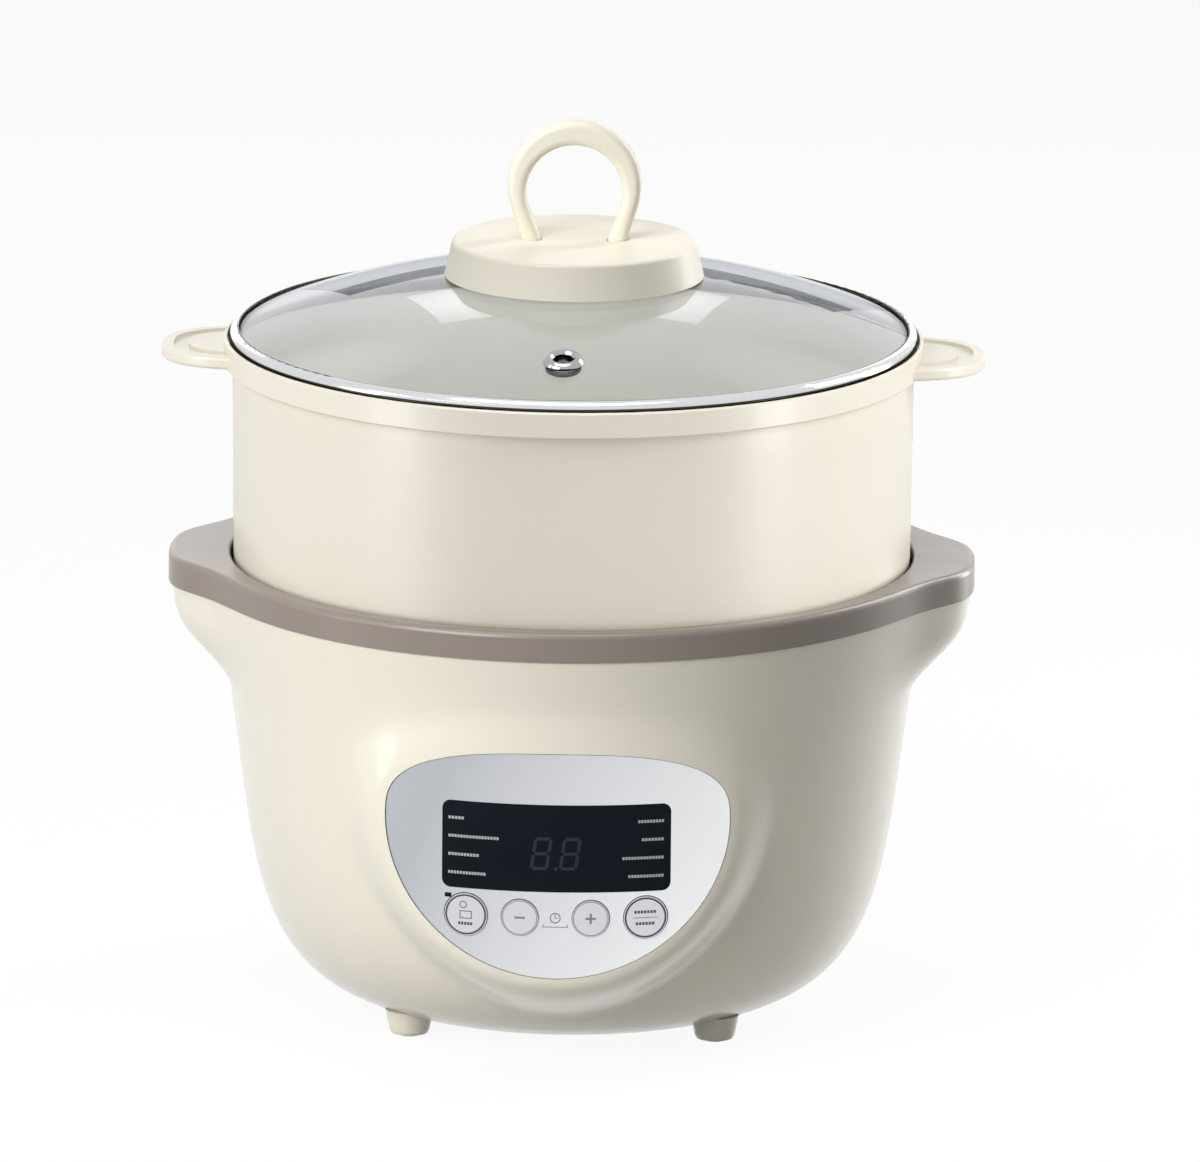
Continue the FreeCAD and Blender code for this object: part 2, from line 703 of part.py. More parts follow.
# Underside and feet

def base_cover():
    body = rod(COVER_RADIUS, vec(0, 0, UNDERSIDE_Z), COVER_THICKNESS)
    body = body.fuse([rod(POST_RADIUS, p, BOARD_POST_HEIGHT) for p in board_posts(COVER_TOP_Z)])
    body = bored(body, cover_screw_places(), SCREW_RADIUS + THREAD_GAP, UNDERSIDE_Z, COVER_THICKNESS)
    body = bored(body, cover_screw_places(), SCREW_HEAD_RADIUS + SLIP_GAP, UNDERSIDE_Z, SCREW_HEAD_HEIGHT)
    thread = SMALL_SCREW_RADIUS + THREAD_GAP
    body = bored(body, board_posts(COVER_TOP_Z), thread, 0, BOARD_POST_HEIGHT)
    slots = []
    for index in range(COVER_SLOT_COUNT):
        slot = block(
            COVER_SLOT_START, COVER_SLOT_START + COVER_SLOT_LENGTH,
            -COVER_SLOT_WIDTH / 2, COVER_SLOT_WIDTH / 2, UNDERSIDE_Z, COVER_TOP_Z,
        )
        slot.rotate(ORIGIN, UP, 360 * (index + 0.5) / COVER_SLOT_COUNT)
        slots.append(slot)
    return body.cut(slots)


def cover_screws():
    seat = UNDERSIDE_Z + SCREW_HEAD_HEIGHT
    length = COVER_TOP_Z + COVER_BOSS_HEIGHT - seat
    return group([
        screw(p + UP * seat, SCREW_HEAD_RADIUS, SCREW_HEAD_HEIGHT, SCREW_RADIUS, length)
        for p in cover_screw_places()
    ])


def foot(place):
    tip = PAD_STAND
    shoulder = tip + FOOT_CHAMFER_DROP
    head_seat = PAD_THICKNESS + SCREW_HEAD_HEIGHT
    body = turned(
        (PAD_RADIUS + SLIP_GAP, tip), (FOOT_BOTTOM_RADIUS, tip),
        (FOOT_BOTTOM_RADIUS + FOOT_CHAMFER_DROP / 2, shoulder), (FOOT_TOP_RADIUS, FOOT_SEAT_HEIGHT),
        (SCREW_RADIUS + THREAD_GAP, FOOT_SEAT_HEIGHT), (SCREW_RADIUS + THREAD_GAP, head_seat),
        (SCREW_HEAD_RADIUS + SLIP_GAP, head_seat), (SCREW_HEAD_RADIUS + SLIP_GAP, PAD_THICKNESS),
        (PAD_RADIUS + SLIP_GAP, PAD_THICKNESS),
    )
    return body.translated(place)


def foot_pads():
    return group([rod(PAD_RADIUS, p, PAD_THICKNESS) for p in foot_places()])


def foot_screws():
    seat = PAD_THICKNESS + SCREW_HEAD_HEIGHT
    length = FOOT_SEAT_HEIGHT + FOOT_BOSS_RISE / 2 - seat
    return group([
        screw(p + UP * seat, SCREW_HEAD_RADIUS, SCREW_HEAD_HEIGHT, SCREW_RADIUS, length)
        for p in foot_places()
    ])


# Heating well, seal and pot

def vessel(radius, corner, floor_z, top_z):
    """Filled round vessel with a rounded bottom corner."""
    knee = corner * (1 - math.sqrt(0.5))
    return turned(
        (0, floor_z), (radius - corner, floor_z),
        (radius - knee, floor_z + knee, radius, floor_z + corner),
        (radius, top_z), (0, top_z),
    )


def heating_well():
    corner = POT_CORNER + WELL_GAP
    outside = vessel(WELL_RADIUS + WELL_WALL, corner + WELL_WALL, WELL_BOTTOM_Z, FLANGE_TOP_Z)
    outside = outside.fuse(rod(COLLAR_RADIUS - SLIP_GAP, vec(0, 0, SHELF_TOP_Z), WELL_WALL))
    outside = outside.fuse([rod(STUD_RADIUS, p, STUD_LENGTH) for p in stud_places()])
    inside = vessel(WELL_RADIUS, corner, WELL_FLOOR_Z, FLANGE_TOP_Z)
    return outside.cut(inside)


def well_seal():
    outer = RIM_OPENING - SLIP_GAP
    return ring(outer - SEAL_WIDTH, outer, FLANGE_TOP_Z, SEAL_TOP_Z)


def ceramic_pot():
    knee = POT_RIM_THICKNESS / 2
    rim_radius = STEAMER_RADIUS - POT_RIM_INSET
    body = vessel(POT_RADIUS, POT_CORNER, POT_Z, POT_TOP_Z)
    rim = turned(
        (0, POT_RIM_Z), (rim_radius - knee, POT_RIM_Z),
        (rim_radius, POT_RIM_Z + knee, rim_radius - knee, POT_TOP_Z), (0, POT_TOP_Z),
    )
    body = body.fuse(rim).cut(vessel(POT_BORE, POT_CORNER - POT_WALL, POT_Z + POT_WALL, POT_TOP_Z))
    return rounded(body, POT_WALL / 3, lambda e: is_circle_at(e, POT_BORE, POT_TOP_Z))


# Heater under the well

def stud_places():
    return polar(STUD_RING, STUD_COUNT, WELL_BOTTOM_Z - STUD_LENGTH, STUD_ANGLE)


def spacer_places(z):
    return polar(SPACER_RING, STUD_COUNT, z, STUD_ANGLE)


def element_ends():
    turns = [math.radians(90 + side * ELEMENT_GAP_ANGLE / 2) for side in (-1, 1)]
    return [vec(ELEMENT_RING * math.cos(t), ELEMENT_RING * math.sin(t), PLATE_Z) for t in turns]


def element_rod(radius):
    start = element_ends()[1]
    sweep = Part.Face(Part.Wire(Part.makeCircle(radius, start, vec(-start.y, start.x, 0))))
    body = sweep.revolve(ORIGIN, UP, 360 - ELEMENT_GAP_ANGLE)
    return body.fuse([Part.makeSphere(radius, p) for p in element_ends()])


def heating_element():
    pins = [rod(ELEMENT_RADIUS, p - UP * TERMINAL_PIN_LENGTH, TERMINAL_PIN_LENGTH) for p in element_ends()]
    return element_rod(ELEMENT_RADIUS).fuse(pins)


def heating_plate():
    body = rod(PLATE_RADIUS, vec(0, 0, PLATE_Z), PLATE_THICKNESS)
    body = bored(body, stud_places(), STUD_RADIUS + THREAD_GAP, 0, STUD_LENGTH)
    thread = SMALL_SCREW_RADIUS + THREAD_GAP
    body = bored(body, spacer_places(PLATE_Z), thread, 0, PLATE_THICKNESS)
    return body.cut(element_rod(ELEMENT_RADIUS + THREAD_GAP))


def hexagon(radius, place, height):
    points = [place + p for p in polar(radius, 6)]
    return prism(Part.makePolygon(points + points[:1]), UP * height)


def plate_nuts():
    nuts = []
    for place in stud_places():
        at = vec(place.x, place.y, PLATE_Z - NUT_HEIGHT)
        nut = hexagon(NUT_RADIUS, at, NUT_HEIGHT)
        nuts.append(nut.cut(rod(STUD_RADIUS + THREAD_GAP, at, NUT_HEIGHT)))
    return group(nuts)


def heat_shield():
    body = ring(SHIELD_RADIUS - SHIELD_THICKNESS, SHIELD_RADIUS, SHIELD_Z, SHIELD_TOP_Z + SHIELD_FLANGE)
    body = body.fuse(rod(SHIELD_RADIUS, vec(0, 0, SHIELD_Z), SHIELD_THICKNESS))
    thread = SMALL_SCREW_RADIUS + THREAD_GAP
    body = bored(body, spacer_places(SHIELD_Z), thread, 0, SHIELD_THICKNESS)
    hole = ELEMENT_RADIUS + SHIELD_HOLE_GAP
    return body.cut([rod(hole, vec(p.x, p.y, SHIELD_Z), SHIELD_THICKNESS) for p in element_ends()])


def shield_spacers():
    thread = SMALL_SCREW_RADIUS + THREAD_GAP
    places = spacer_places(SHIELD_TOP_Z)
    return group([rod(SPACER_RADIUS, p, SHIELD_GAP).cut(rod(thread, p, SHIELD_GAP)) for p in places])


def shield_screws():
    length = SHIELD_THICKNESS + SHIELD_GAP + PLATE_THICKNESS / 2
    return group([
        screw(p, SMALL_HEAD_RADIUS, SMALL_HEAD_HEIGHT, SMALL_SCREW_RADIUS, length)
        for p in spacer_places(SHIELD_Z)
    ])


def under_plate(x, y, height):
    """Place that hangs this far below the heating plate."""
    return vec(x, y, PLATE_Z - height)


def thermostat():
    place = under_plate(-STUD_RING / 2, -STUD_RING / 2, THERMOSTAT_HEIGHT)
    cap_height = THERMOSTAT_HEIGHT / 3
    body = rod(THERMOSTAT_RADIUS, place + UP * (THERMOSTAT_HEIGHT - cap_height), cap_height)
    body = body.fuse(rod(THERMOSTAT_BODY_RADIUS, place, THERMOSTAT_HEIGHT))
    reach = THERMOSTAT_TAB_REACH
    half = THERMOSTAT_TAB_WIDTH / 2
    tab_top = place.z + THERMOSTAT_TAB_THICKNESS
    tabs = block(place.x - reach, place.x + reach, place.y - half, place.y + half, place.z, tab_top)
    return body.fuse(tabs)


def temperature_sensor():
    place = under_plate(0, STUD_RING / 2, SENSOR_HEIGHT)
    half = SENSOR_HEIGHT / 2
    neck = rod(SENSOR_NECK_RADIUS, place, SENSOR_HEIGHT)
    return neck.fuse(rod(SENSOR_RADIUS, place + UP * half, half))


def thermal_fuse():
    place = vec(STUD_RING / 2, -STUD_RING / 2, PLATE_Z - FUSE_STRAP - FUSE_RADIUS)
    body = rod(FUSE_RADIUS, place - vec(FUSE_LENGTH / 2, 0, 0), FUSE_LENGTH, vec(1, 0, 0))
    strap_width = FUSE_LENGTH / 3
    strap = block(
        place.x - strap_width / 2, place.x + strap_width / 2,
        place.y - FUSE_RADIUS, place.y + FUSE_RADIUS, place.z, PLATE_Z,
    )
    return body.fuse(strap)


# Power board on the base cover

def board_posts(z):
    across = BOARD_HALF_WIDTH - BOARD_HOLE_INSET
    front = BOARD_FRONT + BOARD_HOLE_INSET
    rear = BOARD_REAR - BOARD_HOLE_INSET
    return [vec(side * across, y, z) for side in (-1, 1) for y in (front, rear)]


def power_board():
    body = block(-BOARD_HALF_WIDTH, BOARD_HALF_WIDTH, BOARD_FRONT, BOARD_REAR, BOARD_Z, BOARD_TOP_Z)
    return bored(body, board_posts(BOARD_Z), SMALL_SCREW_RADIUS + THREAD_GAP, 0, BOARD_THICKNESS)


def board_screws():
    length = BOARD_THICKNESS + BOARD_POST_HEIGHT / 2
    return group([
        screw(p, SMALL_HEAD_RADIUS, SMALL_HEAD_HEIGHT, SMALL_SCREW_RADIUS, length, -UP)
        for p in board_posts(BOARD_TOP_Z)
    ])


def on_board(size, x, y):
    """Block standing on the power board, centred at x and y."""
    width, depth, height = size
    top = BOARD_TOP_Z + height
    return block(x - width / 2, x + width / 2, y - depth / 2, y + depth / 2, BOARD_TOP_Z, top)


def power_transformer():
    core = on_board(TRANSFORMER_CORE_SIZE, -BOARD_HALF_WIDTH / 2, 0)
    return core.fuse(on_board(TRANSFORMER_COIL_SIZE, -BOARD_HALF_WIDTH / 2, 0))


def heater_relay():
    body = on_board(RELAY_SIZE, BOARD_HALF_WIDTH / 2, RELAY_REAR_SHIFT)
    return rounded(body, RELAY_EDGE, lambda e: e.BoundBox.ZMin > BOARD_TOP_Z)


def filter_capacitor():
    place = vec(BOARD_HALF_WIDTH / 2, BOARD_FRONT / 2, BOARD_TOP_Z)
    body = rod(CAPACITOR_RADIUS, place, CAPACITOR_HEIGHT)
    return rounded(body, CAPACITOR_EDGE, lambda e: e.BoundBox.ZMin > BOARD_TOP_Z)


def terminal_block():
    _, depth, height = TERMINAL_SIZE
    y = BOARD_REAR - depth / 2
    body = on_board(TERMINAL_SIZE, 0, y)
    driver_holes = [vec(i * TERMINAL_PITCH, y, BOARD_TOP_Z + height / 2) for i in (-2, -1, 0, 1, 2)]
    return bored(body, driver_holes, TERMINAL_HOLE_RADIUS, 0, height / 2)


# Control panel, window, buttons and control board

def window_z():
    return PANEL_Z - WINDOW_DROP


def front_block(width, height, z, corner):
    """Block with rounded corners in front view, from the axis out past the panel."""
    half_width = width / 2
    return rounded_block(half_width, -FAR, -WELL_RADIUS / 2, z - height / 2, z + height / 2, corner)


def panel_posts(y):
    upper = [vec(side * UPPER_POST_ACROSS, y, PANEL_Z + UPPER_POST_RISE) for side in (-1, 1)]
    lower = [vec(side * LOWER_POST_ACROSS, y, PANEL_Z - LOWER_POST_DROP) for side in (-1, 1)]
    return upper + lower


def button_table():
    """Node name, sideways place and radius of each button."""
    return [
        ("preset", -OUTER_BUTTON_ACROSS, OUTER_BUTTON_RADIUS),
        ("time_minus", -INNER_BUTTON_ACROSS, INNER_BUTTON_RADIUS),
        ("time_plus", INNER_BUTTON_ACROSS, INNER_BUTTON_RADIUS),
        ("function", OUTER_BUTTON_ACROSS, OUTER_BUTTON_RADIUS),
    ]


def control_panel():
    face = panel_prism(0, -FAR, -WELL_RADIUS / 2)
    body = face.common(ring(PANEL_BACK_RADIUS, PANEL_RADIUS, 0, RIM_TOP_Z))
    window = front_block(WINDOW_WIDTH, WINDOW_HEIGHT, window_z(), WINDOW_CORNER)
    pocket = window.common(ring(PANEL_RADIUS - WINDOW_THICKNESS, FAR, 0, RIM_TOP_Z))
    ledge = 2 * WINDOW_LEDGE
    corner = WINDOW_CORNER - WINDOW_LEDGE
    opening = front_block(WINDOW_WIDTH - ledge, WINDOW_HEIGHT - ledge, window_z(), corner)
    cuts = [pocket, opening]
    for _, x, radius in button_table():
        cuts.append(rod(radius + SEAT_GAP, vec(x, -FAR, BUTTON_Z), FAR, INWARD))
    body = body.cut(cuts)
    posts = []
    for place in panel_posts(CONTROL_BOARD_FRONT_Y):
        post = rod(POST_RADIUS, place, PANEL_BACK_RADIUS, -INWARD)
        posts.append(post.common(rod(PANEL_BACK_RADIUS, ORIGIN, RIM_TOP_Z)))
    body = body.fuse(posts)
    depth = PANEL_SCREW_GRIP + SCREW_RADIUS
    return bored(body, panel_posts(CONTROL_BOARD_FRONT_Y), SMALL_SCREW_RADIUS + THREAD_GAP, 0, depth, -INWARD)


def display_window():
    gap = 2 * THREAD_GAP
    body = front_block(WINDOW_WIDTH - gap, WINDOW_HEIGHT - gap, window_z(), WINDOW_CORNER - THREAD_GAP)
    return body.common(ring(PANEL_RADIUS - WINDOW_THICKNESS, PANEL_RADIUS, 0, RIM_TOP_Z))


def plunger_front():
    """Y of the switch plunger's tip, where the button's stem ends."""
    return SWITCH_FRONT_Y - PLUNGER_LENGTH / 2


def button(x, radius):
    flange_radius = PANEL_BACK_RADIUS - SEAT_GAP
    flange_back = flange_radius - BUTTON_FLANGE_THICKNESS
    cap = rod(radius, vec(x, -FAR, BUTTON_Z), FAR, INWARD)
    cap = cap.common(ring(flange_back, PANEL_RADIUS + BUTTON_STAND, 0, RIM_TOP_Z))
    flange = rod(radius + BUTTON_FLANGE, vec(x, -FAR, BUTTON_Z), FAR, INWARD)
    flange = flange.common(ring(flange_back, flange_radius, 0, RIM_TOP_Z))
    stem_front = math.sqrt(flange_back ** 2 - x ** 2) + BUTTON_FLANGE_THICKNESS / 2
    stem = rod(STEM_RADIUS, vec(x, -stem_front, BUTTON_Z), stem_front + plunger_front(), INWARD)
    return cap.fuse([flange, stem])


def plunger(x):
    return rod(PLUNGER_RADIUS, vec(x, plunger_front(), BUTTON_Z), PLUNGER_LENGTH, INWARD)


def switch_bodies():
    half = SWITCH_SIZE / 2
    bodies = []
    for _, x, _ in button_table():
        body = block(
            x - half, x + half, SWITCH_FRONT_Y, CONTROL_BOARD_FRONT_Y, BUTTON_Z - half, BUTTON_Z + half,
        )
        depth = PLUNGER_LENGTH / 2 + BUTTON_TRAVEL + SEAT_GAP
        bore = rod(PLUNGER_RADIUS + SEAT_GAP, vec(x, SWITCH_FRONT_Y, BUTTON_Z), depth, INWARD)
        bodies.append(body.cut(bore))
    return group(bodies)


def control_board():
    body = panel_prism(-CONTROL_BOARD_MARGIN, CONTROL_BOARD_FRONT_Y, CONTROL_BOARD_BACK_Y)
    width = CONTROL_BOARD_HALF_WIDTH
    body = body.common(block(-width, width, CONTROL_BOARD_FRONT_Y, CONTROL_BOARD_BACK_Y, 0, RIM_TOP_Z))
    thread = SMALL_SCREW_RADIUS + THREAD_GAP
    return bored(body, panel_posts(CONTROL_BOARD_FRONT_Y), thread, 0, BOARD_THICKNESS, INWARD)


def panel_screws():
    length = BOARD_THICKNESS + PANEL_SCREW_GRIP
    return group([
        screw(p, SMALL_HEAD_RADIUS, SMALL_HEAD_HEIGHT, SMALL_SCREW_RADIUS, length, -INWARD)
        for p in panel_posts(CONTROL_BOARD_BACK_Y)
    ])


def display_module():
    half_width = DISPLAY_WIDTH / 2
    half_height = DISPLAY_HEIGHT / 2
    front = CONTROL_BOARD_FRONT_Y - DISPLAY_DEPTH
    z = window_z()
    body = block(-half_width, half_width, front, CONTROL_BOARD_FRONT_Y, z - half_height, z + half_height)
    return rounded(body, DISPLAY_EDGE, lambda e: e.BoundBox.YMax < front + TOUCH)


# Power inlet

def inlet_back():
    return inlet_face() - INLET_DEPTH


def power_inlet():
    face = inlet_face()
    body = inlet_pad(0, inlet_back(), face)
    body = body.fuse(inlet_pad(INLET_FLANGE, face, face + INLET_FLANGE_THICKNESS))
    body = body.cut(inlet_pad(-INLET_WALL, inlet_back() + INLET_FLOOR, face + INLET_FLANGE_THICKNESS))
    slots = [pin(place, THREAD_GAP) for place in pin_places()]
    return body.cut(slots)


def pin_places():
    """Middle of each pin's foot on the socket's floor: two level ones and the raised earth pin."""
    y = inlet_back()
    low = INLET_HEIGHT - PIN_RISE / 2
    return [vec(-PIN_PITCH, y, low), vec(0, y, low + PIN_RISE), vec(PIN_PITCH, y, low)]


def pin(place, gap):
    half_thickness = PIN_THICKNESS / 2 + gap
    half_width = PIN_WIDTH / 2 + gap
    y0 = place.y - PIN_TAIL
    y1 = place.y + INLET_FLOOR + PIN_LENGTH
    return block(
        place.x - half_thickness, place.x + half_thickness, y0, y1,
        place.z - half_width, place.z + half_width,
    )


def inlet_pins():
    return group([pin(place, 0) for place in pin_places()])


# Leads and cable

def lead_height():
    return BOARD_TOP_Z + TERMINAL_SIZE[2] / 2


def inlet_leads():
    leads = []
    for index, place in enumerate(pin_places()):
        start = place - INWARD * PIN_TAIL
        x = (index - 1) * TERMINAL_PITCH
        down = vec(start.x, SHIELD_RADIUS + 3 * LEAD_BEND, start.z)
        inside = vec(x, SHIELD_RADIUS, lead_height())
        end = vec(x, BOARD_REAR, lead_height())
        leads.append(lead([start, down, inside, end]))
    return group(leads)


def heater_leads():
    leads = []
    for place in element_ends():
        start = place - UP * TERMINAL_PIN_LENGTH
        low = vec(place.x, place.y, lead_height())
        leads.append(lead([start, low, vec(place.x, BOARD_REAR, lead_height())]))
    return group(leads)


def panel_cable():
    half = CABLE_THICKNESS / 2
    y = CONTROL_BOARD_BACK_Y + half
    top = PANEL_Z - PANEL_FALL + CONTROL_BOARD_MARGIN
    low = BOARD_TOP_Z + half
    route = [
        vec(0, y, top + CABLE_OVERLAP),
        vec(0, y, SHIELD_Z + CABLE_BEND),
        vec(0, -SHIELD_RADIUS - 2 * CABLE_BEND, low),
        vec(0, BOARD_FRONT + CABLE_OVERLAP, low),
    ]
    wide = CABLE_WIDTH / 2
    z = route[0].z
    profile = Part.makePolygon([
        vec(-wide, y - half, z), vec(wide, y - half, z), vec(wide, y + half, z), vec(-wide, y + half, z),
        vec(-wide, y - half, z),
    ])
    return rounded_path(route, CABLE_BEND).makePipeShell([profile], True, False)


# Steamer tier

def tab_outline(half_depth, half_width, x, z):
    points = []
    for degrees in range(0, 360, TAB_OUTLINE_STEP):
        turn = math.radians(degrees)
        power = 2 / TAB_ROUNDNESS
        across = math.copysign(abs(math.cos(turn)) ** power, math.cos(turn)) * half_depth
        along = math.copysign(abs(math.sin(turn)) ** power, math.sin(turn)) * half_width
        points.append(vec(x + across, along, z))
    return closed_curve(points)


def handle_tab():
    """Right-hand tab handle of the steamer, rooted in its rim band."""
    top = BAND_TOP_Z - TAB_DROP
    bottom = top - TAB_THICKNESS
    tip = BAND_RADIUS + TAB_REACH
    root = STEAMER_RADIUS - TAB_REACH / 2
    tab = prism(tab_outline(tip - root, TAB_HALF_WIDTH, root, bottom), UP * TAB_THICKNESS)
    tab = rounded(tab, TAB_EDGE, lambda e: e.BoundBox.ZLength < TOUCH)
    tab = tab.cut(rod(LIP_BORE, vec(0, 0, bottom), TAB_THICKNESS))
    floor = top - TAB_GROOVE_DEPTH
    walls = []
    for margin in (TAB_GROOVE_MARGIN, TAB_GROOVE_MARGIN + TAB_GROOVE_WIDTH):
        oval = tab_outline(tip - root - margin, TAB_HALF_WIDTH - margin, root, floor)
        walls.append(prism(oval, UP * TAB_GROOVE_DEPTH))
    return tab.cut(walls[0].cut(walls[1]))


def steam_holes():
    holes = [rod(STEAM_HOLE_RADIUS, vec(0, 0, STEAMER_Z), STEAMER_WALL)]
    for index in range(1, STEAM_HOLE_RINGS + 1):
        for place in polar(index * STEAM_HOLE_PITCH, 6 * index, STEAMER_Z):
            holes.append(rod(STEAM_HOLE_RADIUS, place, STEAMER_WALL))
    return holes


def steamer_basket():
    top_radius = STEAMER_RADIUS + STEAMER_SPREAD
    floor_top = STEAMER_Z + STEAMER_WALL
    spigot_outer = POT_BORE - SPIGOT_GAP
    spigot_z = STEAMER_Z - SPIGOT_DEPTH
    step = STEAMER_LIP / 2
    body = turned(
        (0, STEAMER_Z), (spigot_outer - SPIGOT_WALL, STEAMER_Z), (spigot_outer - SPIGOT_WALL, spigot_z),
        (spigot_outer, spigot_z), (spigot_outer, STEAMER_Z), (STEAMER_RADIUS - FOOT_CHAMFER, STEAMER_Z),
        (STEAMER_RADIUS, STEAMER_Z + FOOT_CHAMFER), (top_radius, BAND_Z),
        (BAND_RADIUS - step, BAND_Z), (BAND_RADIUS, BAND_Z + step), (BAND_RADIUS, BAND_TOP_Z - step),
        (BAND_RADIUS - step, BAND_TOP_Z), (LIP_BORE, BAND_TOP_Z), (LIP_BORE, LEDGE_Z),
        (top_radius - STEAMER_WALL, LEDGE_Z), (STEAMER_RADIUS - STEAMER_WALL, floor_top), (0, floor_top),
    )
    right = handle_tab()
    left = right.mirror(ORIGIN, vec(1, 0, 0))
    return body.fuse([right, left]).cut(steam_holes())


# Lid

def dome(radius, z0):
    """Part of the glass's sphere above a level."""
    ball = Part.makeSphere(radius, vec(0, 0, GLASS_CENTRE_Z))
    return ball.common(rod(radius, vec(0, 0, z0), radius))


def glass_lid():
    low = LID_Z
    body = dome(GLASS_RADIUS, low).cut(dome(GLASS_RADIUS - GLASS_THICKNESS, low - GLASS_THICKNESS))
    body = body.common(rod(GLASS_EDGE, vec(0, 0, low), GLASS_RADIUS))
    body = body.cut(rod(KNOB_SCREW_RADIUS + SLIP_GAP, vec(0, 0, low), GLASS_RADIUS))
    return body.cut(on_dome(rod(VENT_TUBE_RADIUS + SLIP_GAP, vec(0, 0, GLASS_RADIUS / 2), GLASS_RADIUS)))


def on_dome(shape):
    """Turns a shape on the glass's axis, measured from the sphere's centre, to the vent's place in front."""
    tilt = math.degrees(math.asin(VENT_RING / GLASS_RADIUS))
    shape.rotate(ORIGIN, vec(1, 0, 0), tilt)
    return shape.translated(vec(0, 0, GLASS_CENTRE_Z))


def vent_eyelet():
    top = GLASS_RADIUS + THREAD_GAP
    under = GLASS_RADIUS - GLASS_THICKNESS - THREAD_GAP
    rolled = VENT_STAND / 2
    body = turned(
        (VENT_HOLE_RADIUS, under - rolled), (VENT_FOOT_RADIUS, under - rolled),
        (VENT_FOOT_RADIUS, under - THREAD_GAP), (VENT_TUBE_RADIUS, under - THREAD_GAP),
        (VENT_TUBE_RADIUS, top), (VENT_RADIUS, top),
        (VENT_RADIUS - rolled / 2, top + rolled, VENT_RADIUS - rolled * 2, top + VENT_STAND),
        (VENT_HOLE_RADIUS + rolled, top + VENT_STAND), (VENT_HOLE_RADIUS, top + rolled),
    )
    return on_dome(body)


def lid_rim():
    bore = LID_RADIUS - LID_RIM_WALL
    top = GLASS_EDGE_TOP_Z
    slope = GLASS_EDGE / (top - GLASS_CENTRE_Z)
    curl_z = top + LID_RIM_CURL * slope + SEAT_GAP
    return turned(
        (bore - LID_RIM_FLANGE, LID_Z), (LID_RADIUS, LID_Z), (LID_RADIUS, top - SEAT_GAP),
        (LID_RADIUS - LID_RIM_WALL / 4, top + SEAT_GAP, bore - LID_RIM_CURL, curl_z + LID_RIM_WALL / 3),
        (bore - LID_RIM_CURL, curl_z), (bore, top + SEAT_GAP / 2), (bore, LID_Z + LID_RIM_FLOOR),
        (bore - LID_RIM_FLANGE, LID_Z + LID_RIM_FLOOR),
    )


# Knob

def gasket_top():
    return GLASS_TOP_Z + GASKET_THICKNESS


def leg_places(z):
    return [vec(side * LOOP_LEG_ACROSS, 0, z) for side in (-1, 1)]


def leg_block(place, gap, depth):
    half_width = LOOP_LEG_WIDTH / 2 + gap
    half_depth = LOOP_DEPTH / 2 + gap
    body = block(
        place.x - half_width, place.x + half_width, -half_depth, half_depth, place.z, place.z + depth,
    )
    return rounded(body, LOOP_ROUND + gap, lambda e: e.BoundBox.ZLength > depth / 2)


def socket_floor():
    return KNOB_TOP_Z - LOOP_SOCKET_DEPTH


def socket_posts():
    """Posts under the knob's top that hold the loop's legs."""
    radius = math.hypot(LOOP_LEG_WIDTH, LOOP_DEPTH) / 2 + LOOP_SOCKET_WALL / 2
    foot_z = socket_floor() - LOOP_SOCKET_FLOOR - SMALL_HEAD_HEIGHT
    return [rod(radius, p, KNOB_TOP_Z - foot_z) for p in leg_places(foot_z)]


def knob_disc():
    crown_z = KNOB_TOP_Z + KNOB_CROWN
    lean = KNOB_BOTTOM_RADIUS - KNOB_TOP_RADIUS
    body = turned(
        (0, KNOB_Z), (KNOB_BOTTOM_RADIUS, KNOB_Z), (KNOB_TOP_RADIUS, KNOB_TOP_Z),
        (KNOB_TOP_RADIUS / 2, KNOB_TOP_Z + KNOB_CROWN * 0.75, 0, crown_z),
    )
    body = rounded(body, KNOB_EDGE, lambda e: is_circle_at(e, KNOB_TOP_RADIUS, KNOB_TOP_Z))
    roof = KNOB_TOP_Z - KNOB_WALL
    hollow = turned(
        (0, KNOB_Z), (KNOB_BOTTOM_RADIUS - KNOB_WALL, KNOB_Z), (KNOB_BOTTOM_RADIUS - KNOB_WALL - lean, roof),
        (0, roof),
    )
    inside_parts = socket_posts() + [rod(HUB_RADIUS, vec(0, 0, KNOB_Z), KNOB_HEIGHT)]
    body = body.cut(hollow.cut(inside_parts))
    dish_radius = (KNOB_DISH_RADIUS ** 2 + KNOB_DISH_DEPTH ** 2) / (2 * KNOB_DISH_DEPTH)
    dish = Part.makeSphere(dish_radius, vec(0, 0, crown_z - KNOB_DISH_DEPTH + dish_radius))
    cuts = [dish, block(-FAR, FAR, -FAR, FAR, 0, KNOB_Z)]
    cuts.append(rod(HUB_RADIUS, ORIGIN, gasket_top()))
    cuts += [leg_block(p, SLIP_GAP, LOOP_SOCKET_DEPTH * 2) for p in leg_places(socket_floor())]
    grip_top = gasket_top() + KNOB_SCREW_GRIP
    cuts.append(rod(KNOB_SCREW_RADIUS + THREAD_GAP, vec(0, 0, KNOB_Z), grip_top - KNOB_Z))
    pilot = SMALL_SCREW_RADIUS + THREAD_GAP
    cuts += [rod(pilot, p, LOOP_SOCKET_DEPTH) for p in leg_places(loop_screw_seat())]
    head_bore = SMALL_HEAD_RADIUS + SLIP_GAP
    cuts += [rod(head_bore, p, loop_screw_seat() - KNOB_Z) for p in leg_places(KNOB_Z)]
    return body.cut(cuts)


def loop_screw_seat():
    return socket_floor() - LOOP_SOCKET_FLOOR


